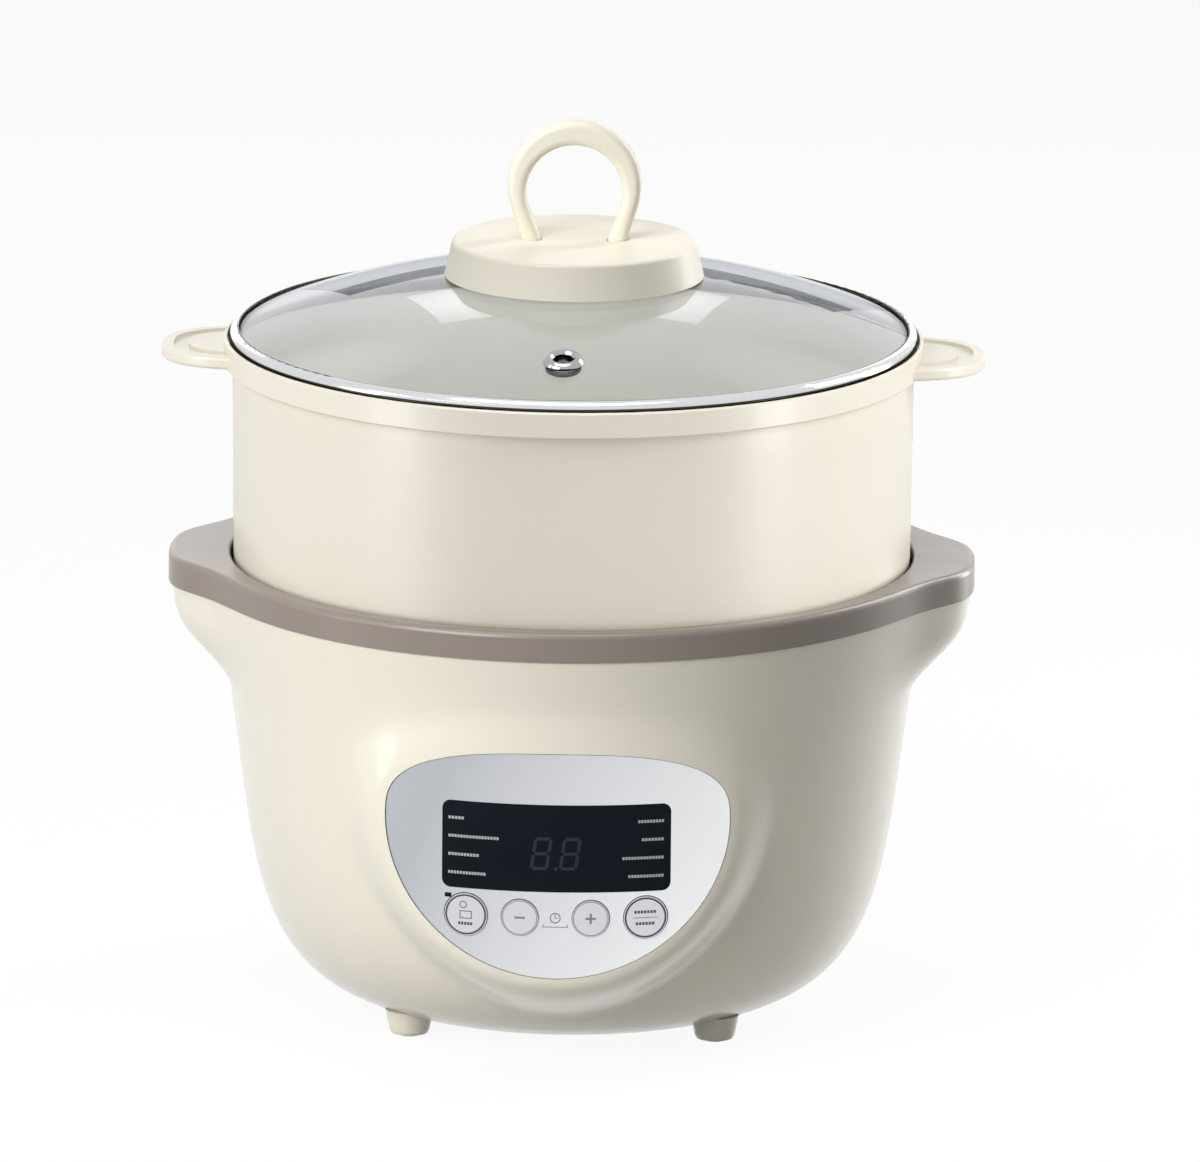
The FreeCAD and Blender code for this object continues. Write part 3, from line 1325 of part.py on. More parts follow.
def tangent_point(outside, centre, radius, side):
    """Where a line from a point in the XZ plane touches a circle, on the chosen side."""
    away = centre - outside
    reach = math.sqrt(away.Length ** 2 - radius ** 2)
    turn = side * math.asin(radius / away.Length)
    heading = math.atan2(away.z, away.x) + turn
    return outside + vec(math.cos(heading), 0, math.sin(heading)) * reach


def loop_side(x, z_low, z_bend, centre, radius):
    """Left and right legs of the loop's outline and the arc that joins them over the top."""
    touch = tangent_point(vec(x, 0, z_bend), centre, radius, -1)
    legs = []
    for side in (-1, 1):
        leg = [vec(side * x, 0, z_low), vec(side * x, 0, z_bend), vec(side * touch.x, 0, touch.z)]
        legs += rounded_path(leg, LOOP_BEND).Edges
    top = centre + UP * radius
    return legs + [Part.Arc(touch, top, vec(-touch.x, 0, touch.z)).toShape()]


def knob_loop():
    top = KNOB_TOP_Z + LOOP_HEIGHT
    low = socket_floor() + REST_GAP
    bend = KNOB_TOP_Z + KNOB_CROWN
    outer = LOOP_LEG_ACROSS + LOOP_LEG_WIDTH / 2
    inner = LOOP_LEG_ACROSS - LOOP_LEG_WIDTH / 2
    outside = loop_side(outer, low, bend, vec(0, 0, top - LOOP_RADIUS), LOOP_RADIUS)
    hole_centre = vec(0, 0, top - LOOP_TOP_BAR - LOOP_HOLE_RADIUS)
    inside = loop_side(inner, low, bend, hole_centre, LOOP_HOLE_RADIUS)
    feet = [
        Part.LineSegment(vec(side * outer, 0, low), vec(side * inner, 0, low)).toShape() for side in (-1, 1)
    ]
    wire = Part.Wire(Part.__sortEdges__(outside + inside + feet))
    body = prism(wire, vec(0, LOOP_DEPTH, 0)).translated(vec(0, -LOOP_DEPTH / 2, 0))
    body = rounded(body, LOOP_ROUND, lambda e: e.BoundBox.YLength < TOUCH and e.BoundBox.ZLength > TOUCH)
    pilot = SMALL_SCREW_RADIUS + THREAD_GAP
    return bored(body, leg_places(low), pilot, 0, LOOP_PILOT_DEPTH)


def loop_screws():
    length = LOOP_SOCKET_FLOOR + LOOP_SOCKET_DEPTH
    return group([
        screw(p, SMALL_HEAD_RADIUS, SMALL_HEAD_HEIGHT, SMALL_SCREW_RADIUS, length)
        for p in leg_places(loop_screw_seat())
    ])


def knob_gasket():
    return ring(KNOB_SCREW_RADIUS + SLIP_GAP, HUB_RADIUS, GLASS_TOP_Z, gasket_top())


def washer_top():
    """Flat top of the washer, just under the rim of the glass's curved underside."""
    under = GLASS_RADIUS - GLASS_THICKNESS
    return GLASS_CENTRE_Z + math.sqrt(under ** 2 - WASHER_RADIUS ** 2)


def knob_washer():
    return ring(KNOB_SCREW_RADIUS + THREAD_GAP, WASHER_RADIUS, washer_top() - WASHER_THICKNESS, washer_top())


def knob_screw():
    seat = washer_top() - WASHER_THICKNESS
    length = gasket_top() + KNOB_SCREW_GRIP - seat - SEAT_GAP
    place = vec(0, 0, seat)
    return screw(place, KNOB_SCREW_HEAD_RADIUS, KNOB_SCREW_HEAD_HEIGHT, KNOB_SCREW_RADIUS, length)


def all_pieces():
    """Every node of the assembly by name."""
    pieces = {}
    makers = [
        outer_housing, top_rim, rim_screws, base_cover, cover_screws, foot_pads, foot_screws,
        heating_well, well_seal, heating_plate, heating_element, plate_nuts, heat_shield, shield_spacers,
        shield_screws, thermostat, temperature_sensor, thermal_fuse, power_board, board_screws,
        power_transformer, heater_relay, filter_capacitor, terminal_block, control_panel, display_window,
        control_board, panel_screws, display_module, switch_bodies, power_inlet, inlet_pins, inlet_leads,
        heater_leads, panel_cable, ceramic_pot, steamer_basket, glass_lid, lid_rim, vent_eyelet, knob_disc,
        knob_loop, loop_screws, knob_gasket, knob_washer, knob_screw,
    ]
    for maker in makers:
        pieces[maker.__name__] = maker()
    for name, place in zip(("front_left", "rear_left", "front_right", "rear_right"), foot_places()):
        pieces[name + "_foot"] = foot(place)
    for name, x, radius in button_table():
        pieces[name + "_button"] = button(x, radius)
        pieces[name + "_plunger"] = plunger(x)
    return pieces


def main():
    os.makedirs("parts", exist_ok=True)
    for node, shape in all_pieces().items():
        shape.exportStep("parts/" + node + ".step")


if __name__ == "__main__":
    main()
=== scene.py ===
import math
from typing import NamedTuple

import bmesh
import bpy
from bpy.props import FloatProperty, FloatVectorProperty, PointerProperty
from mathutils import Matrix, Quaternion, Vector


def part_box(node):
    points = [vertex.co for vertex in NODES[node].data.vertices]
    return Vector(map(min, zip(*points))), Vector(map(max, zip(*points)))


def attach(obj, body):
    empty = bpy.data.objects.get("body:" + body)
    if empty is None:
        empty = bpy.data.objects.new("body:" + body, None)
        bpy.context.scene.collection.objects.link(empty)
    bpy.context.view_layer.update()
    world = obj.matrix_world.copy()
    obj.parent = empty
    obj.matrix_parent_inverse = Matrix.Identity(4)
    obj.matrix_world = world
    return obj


bl_info = {
    "name": "Stew Pot Looks",
    "version": (1, 0, 0),
    "blender": (4, 5, 0),
    "location": "3D View > Sidebar > Stew Pot",
    "description": "Finishes, panel marks and studio of an electric stew pot with a steamer tier",
    "category": "Object",
}

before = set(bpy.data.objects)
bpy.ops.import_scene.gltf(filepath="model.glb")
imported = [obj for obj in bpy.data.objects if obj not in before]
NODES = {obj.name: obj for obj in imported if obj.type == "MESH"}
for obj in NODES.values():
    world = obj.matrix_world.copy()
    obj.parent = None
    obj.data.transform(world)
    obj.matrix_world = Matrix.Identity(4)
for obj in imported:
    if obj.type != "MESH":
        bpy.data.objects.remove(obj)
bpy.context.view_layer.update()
MM = 0.001


def length(name, millimetres, description):
    """Property for a size, given in millimetres."""
    return FloatProperty(
        name=name, description=description, default=millimetres * MM, unit="LENGTH", precision=5,
    )


def angle(name, degrees, description):
    """Property for an angle, given in degrees."""
    return FloatProperty(name=name, description=description, default=math.radians(degrees), subtype="ANGLE")


def tint(name, red, green, blue, description):
    """Property for a colour, given in linear light."""
    return FloatVectorProperty(
        name=name, description=description, default=(red, green, blue), subtype="COLOR", min=0, max=1,
    )


def level(name, value, description):
    """Property for a brightness or a share."""
    return FloatProperty(name=name, description=description, default=value, min=0)


class PotColours(bpy.types.PropertyGroup):
    """Colours of the finishes."""

    cream: tint("Cream", 0.82, 0.775, 0.65, "Glossy plastic of the housing, feet and knob")
    steamer: tint("Steamer", 0.80, 0.755, 0.645, "Satin plastic of the steamer tier")
    taupe: tint("Taupe", 0.24, 0.20, 0.172, "Top rim and its ears")
    # The lacquer's fade between these two corners is a painted reflection: painted shade at the upper left,
    # painted highlight at the lower right
    silver: tint("Silver", 0.97, 0.975, 0.99, "Light corner of the control panel's lacquer")
    panel_painted_shade: tint("Pewter", 0.46, 0.48, 0.51, "Dark corner of the control panel's lacquer")
    cap: tint("Button cap", 0.74, 0.76, 0.79, "Faces of the push buttons")
    smoke: tint("Smoked window", 0.0052, 0.0075, 0.0118, "Window over the display, and the status lamp")
    segment: tint("Unlit segment", 0.026, 0.029, 0.035, "Digits that are switched off")
    pale_ink: tint("Pale ink", 0.42, 0.43, 0.44, "Marks printed inside the window")
    dark_ink: tint("Dark ink", 0.045, 0.047, 0.05, "Marks printed on the outer buttons")
    grey_ink: tint("Grey ink", 0.22, 0.23, 0.25, "Marks printed on the inner buttons and between them")
    glass: tint("Glass", 0.75, 0.78, 0.82, "Lid")
    steel: tint("Steel", 0.70, 0.70, 0.715, "Lid band and vent eyelet")
    # Painted shade, not a seam: the lid band's dark inner edge, its painted shadow at the foot and the
    # eyelet's dark lower flank
    seam: tint("Seam", 0.055, 0.048, 0.043, "Dark edges of the lid band and vent eyelet")
    glaze: tint("Glaze", 0.76, 0.745, 0.70, "Inner pot")
    aluminium: tint("Aluminium", 0.62, 0.63, 0.64, "Heating well, plate, shield and fuse")
    element: tint("Element", 0.20, 0.185, 0.17, "Heat-tinted tube, spacers and sensor")
    zinc: tint("Zinc", 0.50, 0.50, 0.52, "Screws, nuts and the knob's washer")
    silicone: tint("Silicone", 0.10, 0.095, 0.09, "Seal, pads and gasket")
    board: tint("Board", 0.012, 0.10, 0.035, "Solder mask of the circuit boards")
    tin: tint("Tin", 0.55, 0.54, 0.50, "Pads of the circuit boards")
    black: tint("Black plastic", 0.012, 0.012, 0.013, "Mains inlet and the black mouldings inside")
    nylon: tint("Nylon", 0.72, 0.70, 0.62, "Terminal block")
    cover: tint("Cover", 0.52, 0.49, 0.43, "Underside cover")
    brass: tint("Brass", 0.58, 0.43, 0.19, "Inlet pins")
    wire: tint("Wire", 0.36, 0.025, 0.018, "Sleeves of the mains wires")
    ribbon: tint("Ribbon", 0.42, 0.42, 0.44, "Flat cable to the panel")
    winding: tint("Winding", 0.30, 0.10, 0.03, "Transformer")
    sleeve: tint("Sleeve", 0.01, 0.014, 0.06, "Capacitor")


class PanelMarks(bpy.types.PropertyGroup):
    """Sizes of the marks printed on the panel, its window and the buttons."""

    thickness: length("Ink thickness", 0.04, "How far a mark stands off what carries it")
    label_height: length("Label height", 1.0, "Height of a label's dashes")
    label_pitch: length("Label pitch", 6.43, "Distance between label rows")
    label_shift: length("Label shift", -0.35, "Height of the middle of the rows above the window's middle")
    label_margin: length("Label margin", 2.1, "Distance from the window's side to the labels")
    digit_height: length("Digit height", 11.6, "Height of a digit")
    digit_width: length("Digit width", 6.4, "Width of a digit")
    digit_pitch: length("Digit pitch", 10.0, "Distance between the two digits")
    digit_stroke: length("Digit stroke", 1.15, "Width of one segment")
    digit_slant: angle("Digit slant", 8.0, "Lean of the digits")
    digit_shift: length("Digit shift", -1.8, "Height of the digits' middle above the window's middle")
    outer_ring: length("Outer ring", 7.1, "Outside radius of the rings on the outer buttons")
    inner_ring: length("Inner ring", 6.05, "Outside radius of the rings on the inner buttons")
    ring_width: length("Ring width", 0.62, "Line width of the outer buttons' rings")
    fine_line: length("Fine line", 0.28, "Line width of the thin marks")


class Studio(bpy.types.PropertyGroup):
    """Camera, lamps and floor."""

    azimuth: angle("Azimuth", 2.1, "Camera's turn to the right of the front")
    elevation: angle("Elevation", 13.2, "Camera's height above the horizon")
    roll: angle("Roll", 0.5, "Lean of the picture")
    distance: length("Distance", 7000, "From the camera to the pot's axis")
    framed_width: length("Framed width", 417.6, "Width of the picture at the pot's axis")
    aim_across: length("Aim across", 9.9, "Picture's middle to the right of the axis")
    aim_height: length("Aim height", 150.0, "Picture's middle above the table")
    key: level("Front softbox", 9.3, "Brightness of the softbox at the front left")
    knob: level("Knob softbox", 7.9, "Brightness of the softbox for the knob's disc alone")
    strip: level("Left strip", 2.0, "Brightness of the upright softbox at the left")
    edge: level("Right edge", 7.0, "Brightness of the upright softbox behind the right side")
    tier_left: level("Steamer left", 8.3, "Brightness of the left strip for the steamer tier alone")
    tier_right: level("Steamer right", 10.0, "Brightness of the right strip for the steamer tier alone")
    tier_fill: level("Steamer fill", 0.5, "Brightness of the front softbox for the steamer tier alone")
    top: level("Overhead softbox", 3.7, "Brightness of the softbox above")
    back: level("Back softbox", 0.65, "Brightness of the softbox behind, which the glass lid doesn't show")
    glass: level("Glass softboxes", 2.2, "Brightness of the softboxes behind for the glass lid alone")
    fill: level("Room light", 0.08, "Brightness of the room")
    floor_white: level("Floor white", 0.93, "How much of the floor's white is free of shadow")


# Shader maths

class Wire:
    """A shader socket that takes part in plain arithmetic."""

    def __init__(self, finish, socket):
        self.finish = finish
        self.socket = socket

    def maths(self, operation, first, second):
        """The outcome of a sum with two values or links."""
        return self.finish.node("ShaderNodeMath", {"operation": operation}, {0: first, 1: second})

    def __add__(self, other):
        return self.maths("ADD", self, other)

    def __radd__(self, other):
        return self.maths("ADD", other, self)

    def __sub__(self, other):
        return self.maths("SUBTRACT", self, other)

    def __rsub__(self, other):
        return self.maths("SUBTRACT", other, self)

    def __mul__(self, other):
        return self.maths("MULTIPLY", self, other)

    def __rmul__(self, other):
        return self.maths("MULTIPLY", other, self)

    def __gt__(self, other):
        return self.maths("GREATER_THAN", self, other)

    def swing(self, amount):
        """A value from 0 to 1 as a change about zero, this large from end to end."""
        return (self - 0.5) * amount


class Finish:
    """A node tree of a material or of the world, and short ways to add to it."""

    def __init__(self, owner):
        owner.use_nodes = True
        self.owner = owner
        self.tree = owner.node_tree
        self.tree.nodes.clear()

    def node(self, kind, settings=None, sockets=None, output=0):
        """Adds a node: its settings first, then the values or links of its sockets. Returns one output."""
        made = self.tree.nodes.new(kind)
        for key, value in (settings or {}).items():
            setattr(made, key, value)
        for key, value in (sockets or {}).items():
            if isinstance(value, Wire):
                self.tree.links.new(value.socket, made.inputs[key])
            else:
                made.inputs[key].default_value = value
        return Wire(self, made.outputs[output]) if made.outputs else None

    def place(self):
        """Position on the piece, in metres, in the pot's frame at rest."""
        return self.node("ShaderNodeTexCoord", output="Object")

    def noise(self, grain, detail, where=None, stretch=(1, 1, 1)):
        """Noise from 0 to 1 whose blobs are about one grain across, in millimetres."""
        where = where or self.place()
        if stretch != (1, 1, 1):
            where = self.node("ShaderNodeVectorMath", {"operation": "MULTIPLY"}, {0: where, 1: stretch})
        return self.node(
            "ShaderNodeTexNoise", None, {"Vector": where, "Scale": 1 / (grain * MM), "Detail": detail},
        )

    def cells(self, grain):
        """Random grey for each cell of about one grain across, in millimetres."""
        found = self.node(
            "ShaderNodeTexVoronoi", None, {"Vector": self.place(), "Scale": 1 / (grain * MM)}, output="Color",
        )
        return self.node("ShaderNodeSeparateColor", None, {"Color": found})

    def part(self, axis):
        """One coordinate of the position."""
        return self.node("ShaderNodeSeparateXYZ", None, {0: self.place()}, output=axis)

    def radius(self):
        """Distance from the pot's axis."""
        flat = self.node("ShaderNodeVectorMath", {"operation": "MULTIPLY"}, {0: self.place(), 1: (1, 1, 0)})
        return self.node("ShaderNodeVectorMath", {"operation": "LENGTH"}, {0: flat}, output="Value")

    def around(self):
        """Position as distance from the pot's axis and height, for turned and rolled metal."""
        return self.node("ShaderNodeCombineXYZ", None, {"X": self.radius(), "Z": self.part("Z")})

    def mix(self, factor, first, second, blend="MIX"):
        """Colour between two colours, or blended from both."""
        return self.node(
            "ShaderNodeMix", {"data_type": "RGBA", "blend_type": blend},
            {0: factor, 6: opaque(first), 7: opaque(second)}, output=2,
        )

    def tone(self, factor, colour, low, high):
        """The same colour, from one share of it to another."""
        return self.mix(factor, shade(colour, low), shade(colour, high))

    def bump(self, height, depth):
        """Normal that raises the surface by up to this depth, in millimetres."""
        return self.node("ShaderNodeBump", None, {"Height": height, "Distance": depth * MM, "Strength": 1.0})

    def close(self, shader):
        """Ends the tree in this shader and gives back the material or world."""
        kind = "Material" if isinstance(self.owner, bpy.types.Material) else "World"
        self.node("ShaderNodeOutput" + kind, None, {"Surface": shader})
        return self.owner

    def surface(self, sockets):
        """Ends the material in one layered surface."""
        return self.close(self.node("ShaderNodeBsdfPrincipled", None, sockets))


def opaque(colour):
    """Colour with full alpha, unless it is already a link."""
    return colour if isinstance(colour, Wire) else (*colour[:3], 1.0)


def shade(colour, share):
    """The same colour, darker or lighter."""
    return tuple(min(1.0, channel * share) for channel in colour)


def new_finish(name):
    """Finish in a new material, still empty."""
    return Finish(bpy.data.materials.new(name))


# Finishes, with grain, grooves, strands and depths in millimetres and places in metres

def moulded_plastic(name, colour, roughness, coat=0.0, grain=1.6, depth=0.004):
    """Injection moulding: slow cloudiness of the colour, a skin of fine grain and uneven gloss."""
    finish = new_finish(name)
    cloud = finish.noise(grain=90, detail=3)
    smudge = finish.noise(grain=18, detail=4)
    skin = finish.noise(grain=grain, detail=2)
    return finish.surface({
        "Base Color": finish.tone(cloud, colour, 0.965, 1.02),
        "Roughness": roughness + smudge.swing(0.1) + skin.swing(0.04),
        "Coat Weight": coat,
        "Coat Roughness": 0.06,
        "Normal": finish.bump(skin, depth),
    })


def flake_lacquer(name, light, dark, roughness, middle_height, spread, across=0.57, down=0.24):
    """Silver lacquer with very fine flakes and a painted reflection, from dark at the upper left to light at
    the lower right.

    Across and down are the shares of the fade over one spread to the right and one spread down."""
    finish = new_finish(name)
    flake = finish.cells(grain=0.22)
    cloud = finish.noise(grain=50, detail=3)
    rise = finish.part("Z") - middle_height
    # Painted reflection: dark at the upper left, light at the lower right
    fade = 0.5 + (finish.part("X") * across - rise * down) * (1 / spread)
    fade = finish.node("ShaderNodeClamp", None, {"Value": fade})
    speckle = finish.tone(flake, (1, 1, 1), 0.94, 1)
    return finish.surface({
        "Base Color": finish.mix(1.0, finish.mix(fade, dark, light), speckle, blend="MULTIPLY"),
        "Metallic": 0.7,
        "Roughness": roughness + cloud.swing(0.08),
        "Coat Weight": 0.2,
        "Coat Roughness": 0.1,
        "Normal": finish.bump(flake, 0.0015),
    })


def smoked_plastic(name, colour):
    """Dark see-through plastic, seen as black with a clean shine and faint wipe marks."""
    finish = new_finish(name)
    wipe = finish.noise(grain=4, detail=3, stretch=(0.25, 1, 2))
    return finish.surface({
        "Base Color": finish.tone(finish.noise(grain=30, detail=2), colour, 1, 1.5),
        "Roughness": 0.07 + 0.06 * wipe,
        "Specular IOR Level": 0.05,
    })


def printed_ink(name, colour):
    """Screen-printed mark with slightly uneven ink."""
    finish = new_finish(name)
    mottle = finish.noise(grain=0.6, detail=3)
    return finish.surface({
        "Base Color": finish.tone(mottle, colour, 0.85, 1.12),
        "Roughness": 0.45 + mottle.swing(0.15),
    })


def clear_glass(name, colour):
    """Toughened glass that lets the lamps through to what it covers."""
    finish = new_finish(name)
    glass = finish.node("ShaderNodeBsdfPrincipled", None, {
        "Base Color": opaque(colour),
        "Roughness": 0.015 * finish.noise(grain=20, detail=3),
        "IOR": 1.5,
        "Transmission Weight": 1.0,
    })
    clear = finish.node("ShaderNodeBsdfTransparent", None, {"Color": opaque(colour)})
    shadow = finish.node("ShaderNodeLightPath", output="Is Shadow Ray")
    return finish.close(finish.node("ShaderNodeMixShader", None, {0: shadow, 1: glass, 2: clear}))


def turned_metal(name, colour, roughness, groove, depth):
    """Metal spun round the pot's axis."""
    finish = new_finish(name)
    lines = finish.noise(grain=groove, detail=3, where=finish.around())
    stain = finish.noise(grain=30, detail=4)
    return finish.surface({
        "Base Color": finish.tone(lines, colour, 0.88, 1.08),
        "Metallic": 1.0,
        "Roughness": roughness + lines.swing(0.12) + stain.swing(0.08),
        "Normal": finish.bump(lines, depth),
    })


def rolled_steel(name, colour, dark, inner, low):
    """Polished steel with painted shade: dark nearer to the pot's axis than the inner distance and under the
    low height.
    """
    finish = new_finish(name)
    lines = finish.noise(grain=0.5, detail=3, where=finish.around())
    # Where the painted shade goes
    edge = ((inner - finish.radius()) > 0) + ((low - finish.part("Z")) > 0)
    return finish.surface({
        "Base Color": finish.mix(edge, finish.tone(lines, colour, 0.92, 1.06), dark),
        "Metallic": 1.0,
        "Roughness": 0.1 + 0.06 * lines,
        "Normal": finish.bump(lines, 0.001),
    })


def plain_metal(name, colour, roughness):
    """Small metal parts with plating that is dull in places."""
    finish = new_finish(name)
    dull = finish.noise(grain=3, detail=4)
    return finish.surface({
        "Base Color": finish.tone(dull, colour, 0.8, 1.1),
        "Metallic": 1.0,
        "Roughness": roughness + dull.swing(0.2),
        "Normal": finish.bump(finish.noise(grain=0.3, detail=2), 0.004),
    })


def glazed_ceramic(name, colour):
    """White glaze with a few specks and a slow waviness."""
    finish = new_finish(name)
    speck = finish.noise(grain=1.2, detail=2) > 0.73
    wave = finish.noise(grain=12, detail=2)
    return finish.surface({
        "Base Color": finish.tone(speck, colour, 1, 0.72),
        "Roughness": 0.16 + wave.swing(0.08),
        "Coat Weight": 1.0,
        "Coat Roughness": 0.04,
        "Normal": finish.bump(wave, 0.06),
    })


def rubber(name, colour):
    """Silicone with a powdery bloom."""
    finish = new_finish(name)
    bloom = finish.noise(grain=2, detail=5)
    return finish.surface({
        "Base Color": finish.tone(bloom, colour, 0.8, 1.5),
        "Roughness": 0.62 + bloom.swing(0.2),
        "Normal": finish.bump(finish.noise(grain=0.4, detail=2), 0.01),
    })


def circuit_board(name, colour, tin):
    """Solder mask over copper tracks, with tinned pads."""
    finish = new_finish(name)
    track = finish.node(
        "ShaderNodeTexBrick", {"offset": 0.37},
        {"Vector": finish.place(), "Scale": 90.0, "Mortar Size": 0.03}, output="Fac",
    )
    pad = finish.noise(grain=2, detail=0) > 0.68
    return finish.surface({
        "Base Color": finish.mix(pad, finish.tone(track, colour, 1, 1.9), tin),
        "Metallic": 0.8 * pad,
        "Roughness": 0.35 + track.swing(0.1),
        "Normal": finish.bump(track, 0.03),
    })


def wound_sleeve(name, colour, three_strands, axis):
    """Woven wire sleeve, flat cable or winding, with about three strands in the given length of one axis."""
    finish = new_finish(name)
    strand = finish.node(
        "ShaderNodeTexWave", {"bands_direction": axis},
        {"Vector": finish.place(), "Scale": 1 / (three_strands * MM), "Distortion": 0.6, "Detail": 1.0},
        output="Fac",
    )
    return finish.surface({
        "Base Color": finish.tone(strand, colour, 0.7, 1.15),
        "Roughness": 0.5 + strand.swing(0.15),
        "Normal": finish.bump(strand, 0.04),
    })


def coat_nodes(material, *names):
    """Gives CAD nodes this finish in place of the plain one they came with."""
    for name in names:
        mesh = NODES[name].data
        mesh.materials.clear()
        mesh.materials.append(material)


# Marks on the panel

def reach(node):
    """Largest distance of a node from the pot's axis."""
    return max(math.hypot(v.co.x, v.co.y) for v in NODES[node].data.vertices)


class Stencil:
    """Flat marks, drawn as seen from the front and laid on a round face of the given radius."""

    # Longest step round the face, distance within which points are joined, and fewest sides of a ring
    STEP = 0.7 * MM
    WELD = 0.001 * MM
    RING_SIDES = 8

    # Length of a dash with its gap, in heights of the dash, and the dash's share of that
    DASH_PITCH = 1.05
    DASH_SHARE = 0.74

    def __init__(self, x, z):
        self.x = x
        self.z = z
        self.mesh = bmesh.new()

    def point(self, x, z):
        """Point at this distance from the marks' middle."""
        return self.mesh.verts.new((self.x + x, 0, self.z + z))

    def strip(self, lower, upper):
        """Row of quads between two lines of points."""
        low = [self.point(*p) for p in lower]
        high = [self.point(*p) for p in upper]
        for a, b, c, d in zip(low, low[1:], high[1:], high):
            self.mesh.faces.new((a, b, c, d))

    def bar(self, x0, x1, z0, z1, slant=0.0):
        """Upright rectangle that leans by the slant about the height 0."""
        count = max(1, math.ceil((x1 - x0) / self.STEP))
        across = [x0 + (x1 - x0) * i / count for i in range(count + 1)]
        lean = math.tan(slant)
        self.strip([(x + lean * z0, z0) for x in across], [(x + lean * z1, z1) for x in across])

    def ring(self, x, z, radius, width):
        """Ring of this outside radius and line width."""
        count = max(self.RING_SIDES, math.ceil(math.tau * radius / self.STEP))
        turns = [math.tau * i / count for i in range(count + 1)]
        outer, inner = (
            [(x + size * math.cos(turn), z + size * math.sin(turn)) for turn in turns]
            for size in (radius, radius - width)
        )
        self.strip(outer, inner)

    def dashes(self, x0, x1, z, height):
        """Row of plain dashes, evenly spaced."""
        count = max(1, round((x1 - x0) / (self.DASH_PITCH * height)))
        pitch = (x1 - x0) / count
        for index in range(count):
            start = x0 + index * pitch
            self.bar(start, start + pitch * self.DASH_SHARE, z - height / 2, z + height / 2)

    def print_on(self, name, face_radius, material, body):
        """Wraps the marks round the face, gives them their thickness and lets them ride on the body."""
        bmesh.ops.remove_doubles(self.mesh, verts=self.mesh.verts, dist=self.WELD)
        for vertex in self.mesh.verts:
            vertex.co.y = -math.sqrt(face_radius ** 2 - vertex.co.x ** 2)
        bmesh.ops.recalc_face_normals(self.mesh, faces=self.mesh.faces)
        for face in self.mesh.faces:
            if face.normal.y > 0:
                face.normal_flip()
        data = bpy.data.meshes.new(name)
        self.mesh.to_mesh(data)
        self.mesh.free()
        data.materials.append(material)
        piece = bpy.data.objects.new(name, data)
        bpy.context.collection.objects.link(piece)
        skin = piece.modifiers.new("ink", "SOLIDIFY")
        skin.thickness = bpy.context.scene.panel_marks.thickness
        skin.offset = 1.0
        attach(piece, body)


def middle(node):
    """Middle of a node's box."""
    low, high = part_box(node)
    return (low + high) / 2


def digit(stencil, x, marks):
    """Seven unlit segments round the point x, leaning by the marks' slant."""
    half = marks.digit_width / 2
    tall = marks.digit_height / 2
    stroke = marks.digit_stroke
    gap = stroke / 4
    inset = half - gap - stroke / 2
    for z in (-tall, -stroke / 2, tall - stroke):
        stencil.bar(x - inset, x + inset, z, z + stroke, marks.digit_slant)
    for side in (x - half, x + half - stroke):
        stencil.bar(side, side + stroke, gap + stroke / 4, tall - gap - stroke / 2, marks.digit_slant)
        stencil.bar(side, side + stroke, -tall + gap + stroke / 2, -gap - stroke / 4, marks.digit_slant)


# Operators, one for each group of pieces

class DressHousing(bpy.types.Operator):
    """Glossy cream housing with its feet, textured cover and rubber pads"""

    bl_idname = "stew_pot.housing"
    bl_label = "Housing and Feet"

    def execute(self, context):
        colours = context.scene.pot_colours
        feet = [side + "_foot" for side in ("front_left", "rear_left", "front_right", "rear_right")]
        coat_nodes(moulded_plastic("cream_gloss", colours.cream, 0.24, coat=0.5), "outer_housing", *feet)
        coat_nodes(moulded_plastic("cover_grain", colours.cover, 0.55, grain=0.5, depth=0.02), "base_cover")
        coat_nodes(rubber("pad_rubber", colours.silicone), "foot_pads")
        return {"FINISHED"}


class DressRim(bpy.types.Operator):
    """Satin taupe rim with carrying ears"""

    bl_idname = "stew_pot.rim"
    bl_label = "Top Rim"

    def execute(self, context):
        colours = context.scene.pot_colours
        coat_nodes(moulded_plastic("taupe_satin", colours.taupe, 0.34, coat=0.15, grain=0.7), "top_rim")
        return {"FINISHED"}


